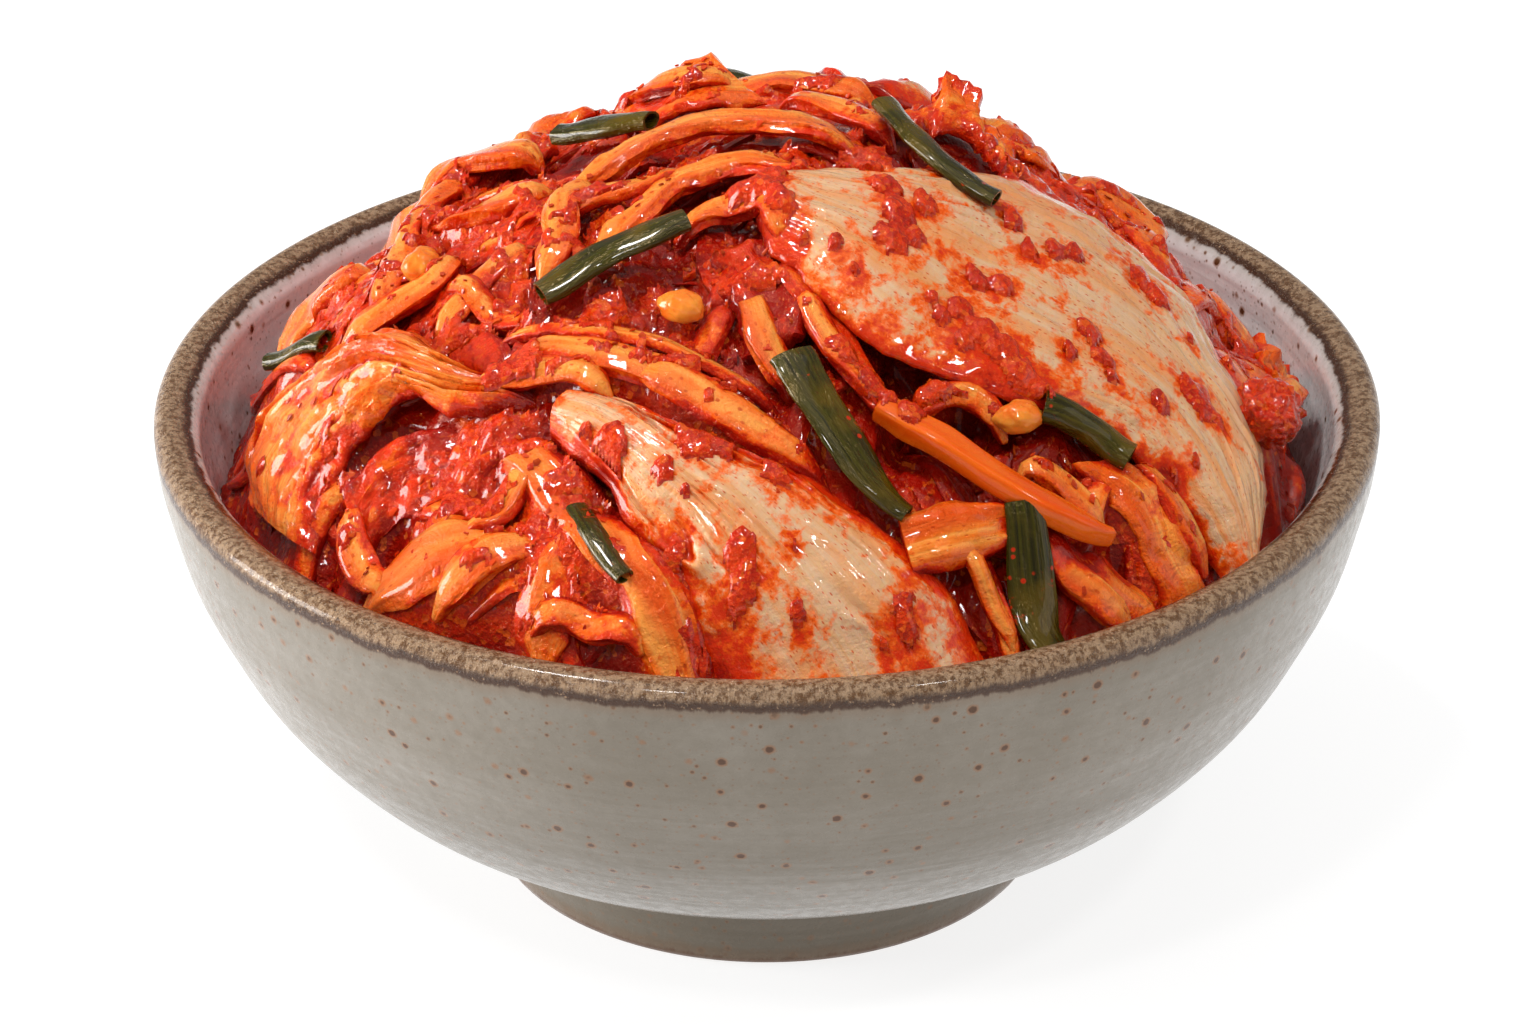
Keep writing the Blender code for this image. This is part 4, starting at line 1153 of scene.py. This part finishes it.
def specks(n, at, glaze):
    """Brown specks of three sizes, each in a rusty halo."""
    for scale, size, share, strength, colour in SPECKS:
        moved = n.add("ShaderNodeVectorMath", {0: at, 1: (3.1 / scale, 1.7, 0.4)}).outputs[0]
        spots = n.cells(moved, scale)
        pick = n.add("ShaderNodeSeparateColor", {"Color": spots.outputs["Color"]})
        reach = n.math("MULTIPLY", n.ramp(pick.outputs[1], 0.0, 1.0, 0.4, 1.0), size)
        wobble = n.math("MULTIPLY", n.math("SUBTRACT", n.noise(at, 2.2, 2), 0.5), 0.08)
        gap = n.math("ADD", n.math("SUBTRACT", spots.outputs["Distance"], reach), wobble)
        there = n.ramp(pick.outputs[0], share, share + 0.02)
        halo = n.math("MULTIPLY", n.ramp(gap, 0.0, 0.12, 0.75, 0.0), there)
        glaze = n.mix(n.math("MULTIPLY", halo, strength), glaze, RUST)
        core = n.math("MULTIPLY", n.ramp(gap, -0.04, 0.02, strength, 0.0), there)
        glaze = n.mix(core, glaze, colour)
    return glaze


def glaze_colour(n, at):
    """The pale glaze, with painted shade darkening it towards the foot and painted light making it paler
    inside.
    """
    broad = n.ramp(n.noise(at, 0.05, 4, 0.55), 0.35, 0.65)
    glaze = n.mix(broad, (0.196, 0.168, 0.132), (0.236, 0.206, 0.168))
    cloud = n.math("MULTIPLY", n.ramp(n.noise(at, 0.6, 3), 0.35, 0.7), 0.4)
    glaze = n.mix(cloud, glaze, (0.172, 0.146, 0.112))
    # Painted shade: darker down the lower body towards the foot.
    glaze = n.mix(n.ramp(n.tone("foot"), 54.0, 14.0, 0.0, 0.55), glaze, (0.085, 0.070, 0.050))
    # Painted light: paler inside the bowl.
    return n.mix(n.math("MULTIPLY", n.tone("inside"), 0.9), glaze, (0.72, 0.71, 0.70))


def lip_colour(n, at, reach):
    """Iron brown: tan on the lip's crest, nearly black where it meets the glaze."""
    streaks = n.noise(n.place(stretch=(1, 1, 0.5)), 1.1, 5, 0.75)
    brown = n.mix(n.ramp(streaks, 0.42, 0.57), (0.120, 0.052, 0.018), (0.34, 0.215, 0.125))
    brown = n.mix(n.ramp(reach, 2.3, 3.2, 0.0, 1.0), brown, (0.045, 0.012, 0.002))
    brown = n.mix(n.ramp(n.noise(at, 2.6, 3, 0.7), 0.58, 0.70), brown, (0.035, 0.018, 0.010))
    return n.mix(n.ramp(n.noise(at, 1.9, 2), 0.62, 0.75), brown, (0.36, 0.225, 0.13))


def foot_colour(n, at, shade, wander):
    """The glaze darkens with painted shade near the foot, thins to brown at a ragged edge and leaves its
    standing face bare.
    """
    foot = n.tone("foot")
    foot_edge = n.math("ADD", foot, n.math("MULTIPLY", n.math("SUBTRACT", wander, 0.5), 2.4))
    # Painted shade: darker over the last millimetres above the foot.
    shade = n.mix(n.ramp(foot, 12.0, 4.0, 0.0, 0.45), shade, (0.13, 0.105, 0.075))
    shade = n.mix(n.ramp(foot_edge, 3.4, 1.6, 0.0, 0.6), shade, (0.15, 0.09, 0.05))
    shade = n.mix(n.ramp(foot_edge, 1.5, 0.7), shade, (0.10, 0.045, 0.020))
    return n.mix(n.tone("clay"), shade, n.mix(n.noise(at, 1.5, 4), (0.24, 0.16, 0.10), (0.32, 0.23, 0.16)))


def stoneware_material():
    """Pale speckled glaze that breaks to iron brown over the lip and at the foot."""
    n = Nodes("stoneware")
    at = n.place()
    glaze = specks(n, at, glaze_colour(n, at))
    wander = n.noise(n.place(stretch=(1, 1, 0.25)), 0.55, 5, 0.7)
    broad = n.noise(at, 0.08, 2)
    edge = n.math("MULTIPLY", n.math("SUBTRACT", wander, 0.5), 2.0)
    edge = n.math("ADD", edge, n.math("MULTIPLY", n.math("SUBTRACT", broad, 0.5), 1.6))
    reach = n.math("ADD", n.tone("lip"), edge)
    glaze = n.mix(n.math("MULTIPLY", n.ramp(reach, 6.0, 3.9), 0.5), glaze, (0.20, 0.125, 0.075))
    shade = n.mix(n.ramp(reach, 4.3, 3.7), glaze, lip_colour(n, at, reach))
    shade = foot_colour(n, at, shade, wander)
    rough = n.ramp(n.noise(at, 0.7, 3), 0.3, 0.7, 0.20, 0.36)
    pits = n.math("MULTIPLY", n.ramp(n.noise(at, 2.4, 3, 0.7), 0.35, 0.6), n.ramp(reach, 4.0, 2.5))
    ripple = n.noise(n.place(stretch=(0.03, 0.03, 0.45)), 1.0, 2)
    n.bump([(ripple, 0.25, 0.8), (n.noise(at, 0.35, 3), 0.25, 0.5), (pits, 0.6, 0.3)])
    return n.finish(shade, rough, Specular_IOR_Level=0.4, Specular_Tint=(1.0, 0.88, 0.75, 1),
                    Coat_Weight=0.25, Coat_Roughness=0.08)


# ---------------------------------------------------------------- the bowl

def arc(centre, radii, start, end, count):
    angles = np.radians(np.linspace(start, end, count))
    return np.column_stack([centre[0] + radii[0] * np.cos(angles), centre[1] + radii[1] * np.sin(angles)])


def bowl_profile():
    """The CAD bowl's profile, finer, from the middle of the floor over the lip to the foot."""
    t = np.linspace(0.0, 1, 46)[1:] ** 2.2
    inside_z = FLOOR_Z + (INNER_TOP_Z - FLOOR_Z) * t
    inside = np.column_stack([inner_radius(inside_z), inside_z])
    crest = BOWL_RADIUS - LIP_ROUND
    lip_in = arc((crest, INNER_TOP_Z), (crest - INNER_RADIUS, BOWL_RIM_Z - INNER_TOP_Z), 180, 90, 16)
    lip_out = arc((crest, LIP_Z), (LIP_ROUND, LIP_ROUND), 90, 0, 9)
    t = np.linspace(1, 0.052, 46)
    outside_z = BELLY_Z + (LIP_Z - BELLY_Z) * t ** 1.3
    outside = np.column_stack([side_radius(outside_z, BOWL_RADIUS, LIP_Z, BELLY_Z), outside_z])
    foot = np.array([
        (FOOT_TOP_RADIUS + 0.25, BELLY_Z + 2.2), (FOOT_TOP_RADIUS, BELLY_Z + 1.0),
        (FOOT_TOP_RADIUS - 0.25, BELLY_Z - 1.5),
        (FOOT_RADIUS + 0.35, 4.5), (FOOT_RADIUS + 0.1, 2.2), (FOOT_RADIUS, 1.0),
        (FOOT_RADIUS - 0.25, 0.35), (FOOT_RADIUS - 0.8, 0.0),
        (FOOT_INNER_RADIUS + 0.6, 0.0), (FOOT_INNER_RADIUS + 0.1, 0.4), (FOOT_INNER_RADIUS - 0.6, 3.5),
        (FOOT_INNER_RADIUS - 1.0, FOOT_RECESS - 1.0), (FOOT_INNER_RADIUS - 3.0, FOOT_RECESS),
        (15.0, FOOT_RECESS),
    ])
    outside = outside[outside[:, 0] > FOOT_TOP_RADIUS + 0.4]
    return np.vstack([inside, lip_in[1:-1], lip_out, outside[1:], foot])


def mark_bowl(made, profile):
    """Tell the glaze how far each point is from the lip and the foot, and whether it's inside or bare."""
    rows = len(profile)
    apex = int(np.argmax(profile[:, 1]))
    run = np.concatenate([[0], np.cumsum(np.linalg.norm(np.diff(profile, axis=0), axis=1))])
    lip = np.abs(run - run[apex]) + np.where(np.arange(rows) < apex, 0.6, 0)
    foot = np.where(np.arange(rows) > apex, profile[:, 1], 40.0)
    bare = (profile[:, 0] < FOOT_RADIUS) & (profile[:, 0] > FOOT_INNER_RADIUS - 0.5)
    clay = ((profile[:, 1] < 0.2) & bare).astype(float)
    inside = (np.arange(rows) < apex).astype(float)
    for name, values in (("lip", lip), ("foot", foot), ("clay", clay), ("inside", inside)):
        hub = 50.0 if name in ("lip", "foot") else 0.0
        full = np.concatenate([np.repeat(values, BOWL_TURNS), [hub, hub]]).astype(np.float32)
        made.data.attributes.new(name, "FLOAT", "POINT").data.foreach_set("value", full)


def make_bowl(finish):
    """The thrown bowl, with the slight unevenness of the hand."""
    profile = bowl_profile()
    turns = BOWL_TURNS
    rows = len(profile)
    angle = np.linspace(0, 2 * math.pi, turns, endpoint=False)[None]
    r, z = profile[:, :1], profile[:, 1:]
    high = smoothstep(20, 66, z)
    r = r + high * (0.18 * np.sin(2 * angle + 0.6) + 0.10 * np.sin(3 * angle + 2.0)) - 0.25 * high
    ripple = 0.10 * np.sin(z / 2.3 + 0.8 * np.sin(angle))
    ripple = ripple * smoothstep(12, 20, z) * (1 - smoothstep(58, 62, z))
    z = z + high * (0.22 * np.sin(angle + 1.0) + 0.12 * np.sin(2 * angle)) - 0.2 * high
    r = r + ripple
    ring = np.stack([r * np.cos(angle), r * np.sin(angle), z + 0 * angle], -1).reshape(-1, 3)
    hubs = np.array([[0, 0, FLOOR_Z], [0, 0, FOOT_RECESS]])
    points = np.concatenate([ring, hubs])
    faces = [grid_faces(rows, turns, 0, loop=True)]
    a = np.arange(turns)
    b = (a + 1) % turns
    last = (rows - 1) * turns
    top_hub = np.full(turns, len(ring))
    foot_hub = top_hub + 1
    faces.append(np.stack([b, a, top_hub, top_hub], -1))
    faces.append(np.stack([last + a, last + b, foot_hub, foot_hub], -1))
    shape = Shape("bowl", points, np.concatenate(faces), points.copy())
    made = make_object("stoneware_bowl", shape, finish)
    mark_bowl(made, profile)
    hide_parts("bowl")
    return made


# ---------------------------------------------------------------- light, floor and camera

def make_stage():
    scene = bpy.context.scene
    scene.view_settings.view_transform = "Standard"
    world = bpy.data.worlds.new("studio")
    scene.world = world
    world.use_nodes = True
    world.node_tree.nodes["Background"].inputs["Color"].default_value = (1.0, 1.0, 1.0, 1)
    world.node_tree.nodes["Background"].inputs["Strength"].default_value = WORLD_LIGHT
    mesh = bpy.data.meshes.new("floor")
    mesh.from_pydata([(-3, -3, 0), (3, -3, 0), (3, 6, 0), (-3, 6, 0)], [], [(0, 1, 2, 3)])
    floor = bpy.data.objects.new("floor", mesh)
    scene.collection.objects.link(floor)
    n = Nodes("floor")
    shade = n.mix(n.noise(n.place(), 0.02, 2), (0.29, 0.29, 0.29), (0.31, 0.31, 0.31))
    white = (1.0, 1.0, 1.0, 1)
    mesh.materials.append(n.finish(shade, 0.9, Emission_Color=white, Emission_Strength=FLOOR_GLOW))
    for name, place, aim, size, power in LIGHTS:
        light = bpy.data.lights.new(name, "AREA")
        light.size = size
        light.energy = power
        made = bpy.data.objects.new(name, light)
        scene.collection.objects.link(made)
        made.location = place
        look_at(made, aim)


def look_at(thing, aim):
    way = Vector(aim) - thing.location
    thing.rotation_euler = way.to_track_quat("-Z", "Y").to_euler()


def make_camera():
    camera = bpy.data.cameras.new("camera")
    camera.sensor_width = 36
    camera.lens = CAMERA_LENS
    camera.clip_start = 0.05
    made = bpy.data.objects.new("camera", camera)
    bpy.context.scene.collection.objects.link(made)
    made.location = (
        CAMERA_TARGET[0],
        CAMERA_TARGET[1] - CAMERA_DISTANCE * math.cos(CAMERA_ELEVATION),
        CAMERA_TARGET[2] + CAMERA_DISTANCE * math.sin(CAMERA_ELEVATION),
    )
    look_at(made, CAMERA_TARGET)
    bpy.context.scene.camera = made


# ---------------------------------------------------------------- putting it together


def stain_all(pile, shapes):
    """Redden each piece where it lies below its surroundings or by a blob, and leave its crests pale.
    The red in low places is part paste stain, part painted shade; the paste's darkening in hollows is
    painted shade.
    """
    around = pile.blurred(pile.top, 1.8)
    far = pile.blurred(pile.top, 3.5)
    deep = np.clip(pile.blurred(pile.top, 9.0) - far, -1.5, 3.0)
    near = np.zeros_like(pile.top)
    for bx, by, radius in BLOBS:
        away = (pile.x - bx) ** 2 + (pile.y - by) ** 2
        near = np.maximum(near, np.exp(-(away / (1.9 * radius + 0.6) ** 2)))
    for shape in shapes:
        x, y, z = shape.points.T
        if shape.kind == "paste":
            # Painted shade: the paste grows darker where it lies below its surroundings and in wide
            # hollows.
            shape.tone = 0.45 * np.clip(pile.at(far, x, y) - z, -1.0, 3.0) + 0.25 * pile.at(deep, x, y)
            continue
        # Part painted shade: lying low and in a hollow reddens a piece, as paste gathered there and as
        # shade.
        sunk = np.clip(pile.at(around, x, y) - z, -0.7, 3.0)
        gain = RIB_STAIN_AND_SHADE if shape.kind == "rib" else LOW_STAIN_AND_SHADE
        shape.tone = shape.tone + gain * sunk + HOLLOW_STAIN_AND_SHADE * pile.at(deep, x, y)
        shape.tone = shape.tone + BLOB_STAIN * pile.at(near, x, y)
        edge = np.clip(shape.route[:, 2], 0, 1)
        if shape.kind == "rib":
            shape.tone += 0.60 * edge**4 + 0.45 * np.exp(-((shape.route[:, 0] / 4.0) ** 2))
        elif shape.kind in ("strip", "leaf"):
            shape.tone += 0.65 * edge**3 + 0.05


def make_finishes():
    """The material for each kind of piece."""
    return {
        "paste": paste_material(),
        "rib": cabbage_material("cabbage_rib", (0.63, 0.40, 0.24), (0.64, 0.34, 0.155), (0.70, 0.22, 0.04),
                                0.55, 0.6),
        "leaf": cabbage_material("cabbage_leaf", (0.80, 0.28, 0.045), (0.74, 0.14, 0.006),
                                 (0.64, 0.050, 0.002), 1.0, 0.75),
        "strip": cabbage_material("cabbage_strip", (0.80, 0.29, 0.050), (0.76, 0.125, 0.005),
                                  (0.62, 0.040, 0.002), 1.0, 0.8),
        "carrot": carrot_material(),
        "scallion": scallion_material(),
        "nut": nut_material(),
        "flake": flake_material(),
        "bowl": stoneware_material(),
    }


def paste_amount(pile, named):
    """How much paste lies on each cell of the pile: more in hollows, little on the large pieces."""
    amount = np.full(pile.top.shape, PASTE_ON_HEAP)
    for shape in named.values():
        i, j, height = pile.cells_of(shape.surface)
        seen = height > pile.top[i, j] - 0.15
        amount[i[seen], j[seen]] = PASTE_ON.get(shape.kind, PASTE_ELSEWHERE)
    amount = pile.blurred(amount, 0.8)
    return amount + 0.25 * np.clip(pile.blurred(pile.top, 2.5) - pile.top, -1, 1.5)


def place(finishes, name, shape, *nodes):
    """Make a piece in its kind's material, in place of these nodes of the CAD model."""
    made = make_object(name, shape, finishes[shape.kind])
    if nodes:
        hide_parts(*nodes)


def main():
    finishes = make_finishes()
    make_camera()
    make_stage()
    make_bowl(finishes["bowl"])

    pile = Pile()
    fillers = scatter_fillers(pile)
    named = lay_rows(pile, LOWER, 500)
    lower_top = pile.top.copy()
    named.update(lay_rows(pile, UPPER, 600))
    more = [rope(pile, *row[:3], 800 + k, tone=row[3]) for k, row in enumerate(MORE)]
    named.update(lay_rows(pile, TOP, 700))

    amount = paste_amount(pile, named)
    core = paste_core(pile, lower_top)
    patches = paste_patches(pile, amount)
    chips = flakes(pile, pile.top, amount, FLAKES)
    stain_all(pile, fillers + more + list(named.values()) + [core, patches])

    place(finishes, "paste_core", core, "kimchi_heap")
    place(finishes, "paste_patches", patches)
    place(finishes, "chilli_flakes", chips)
    for kind in ("strip", "leaf"):
        place(finishes, "small_" + kind, join([s for s in fillers if s.kind == kind], kind))
    place(finishes, "more_strips", join(more, "strip"))
    for name, shape in named.items():
        place(finishes, name + "_look", shape, name)
    for name, (middle, half, turn) in NUTS.items():
        place(finishes, name + "_look", ball(middle, half, turn, 3.7, 0.10), name)
    low, high = (np.array(corner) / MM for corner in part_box("paste_lump"))
    lump = ball((low + high) / 2, (high - low) / 2, 0.0, 9.1, 0.22, fine=70, crumbs=0.5)
    lump.kind = "paste"
    place(finishes, "paste_lump_look", lump, "paste_lump")


main()
